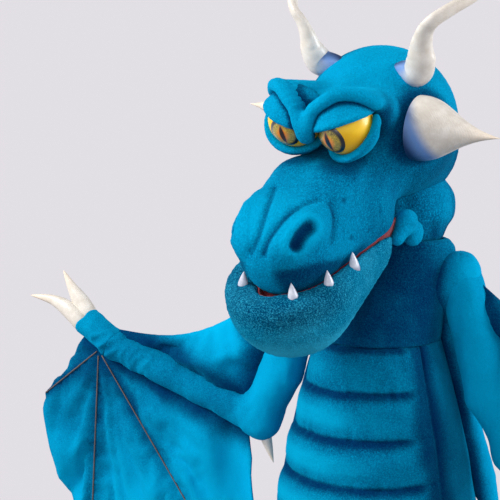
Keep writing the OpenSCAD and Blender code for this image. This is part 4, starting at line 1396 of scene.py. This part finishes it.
def shoulder(side, s):
    fleece_skin(f"{side}_shoulder_pad", shoulder_field, (28, -20, 96), (136, 66, 394), 2.0, shoulder_marks, 0.15,
                "wing", s, body="body", replaces=[f"{side}_shoulder"], fill=0.7)


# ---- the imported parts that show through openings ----


PACKED_LOOKS = (  # material, slot, and how the names of its parts end
    ("foam", "foam", ("_foam", "neck_ring")),
    ("lining", "lining_cloth", ("arm_lining", "lining_skirt")),
    ("mouth", "mouth_lining", ("palate_lining",)),
    ("board", "mouth_plate", ("_mouth_plate",)),
    ("elastic", "elastic", ("_strap",)),
    ("wire", "soft_wire", ("_wire",)),
)


def finish_parts():
    """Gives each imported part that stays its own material."""
    for name, obj in frame["nodes"].items():
        for look, slot, ends in PACKED_LOOKS:
            if name.endswith(ends):
                obj.data.materials.clear()
                obj.data.materials.append(M[look])


head_piece()
for SIDE, SIGN in SIDES.items():
    for build in (lids, eyes, crown_horn, side_horn, gusset, shoulder, arm, claws, spike, membrane, front_cloth):
        build(SIDE, SIGN)
for build in (jaw_piece, mouth_lining, teeth, neck_sleeve, chest, belly, flanks, hem, finish_parts):
    build()

# ---- stage, light and camera ----


LIGHTS = (  # name, place, target, size, power and colour
    ("key", (-1.5, -1.2, 1.7), (0, 0, 0.4), 0.9, 52, (1.0, 0.99, 0.97)),
    ("front", (0.2, -2.2, 0.9), (0, 0, 0.35), 1.2, 9, (0.97, 0.98, 1.0)),
    ("side", (1.5, 0.5, 0.9), (0.1, 0, 0.3), 0.8, 20, (0.96, 0.98, 1.0)),
)
HORIZON_LIGHT, SKY_LIGHT = 0.82, 0.28
CAMERA_PLACE, CAMERA_TARGET = (0.40964, -1.04952, 0.50218), (-0.10395, -0.0836, 0.3872)


def aim_at(obj, place, target):
    obj.location = place
    obj.rotation_euler = (Vector(target) - Vector(place)).to_track_quat("-Z", "Y").to_euler()


def area_light(name, place, target, size, power, colour):
    light = bpy.data.lights.new(name, "AREA")
    light.shape = "DISK"
    light.size = size
    light.energy = power
    light.color = colour
    aim_at(placed(name, light), place, target)


def studio():
    """A pale room that is brightest near the horizon."""
    n = Nodes(bpy.data.worlds.new("studio"), "Background", "Generated")
    bpy.context.scene.world = n.owner
    height = n.math("ABSOLUTE", n.axes()["Z"])
    n.set(Strength=n.span(height, 0.30, 0.62, HORIZON_LIGHT, SKY_LIGHT), Color=(0.93, 0.90, 0.95))


def camera():
    data = bpy.data.cameras.new("camera")
    data.lens = 80
    data.sensor_width = 36
    obj = placed("camera", data)
    aim_at(obj, CAMERA_PLACE, CAMERA_TARGET)
    bpy.context.scene.camera = obj


camera()
for light in LIGHTS:
    area_light(*light)
studio()
bpy.context.scene.view_settings.view_transform = "Standard"
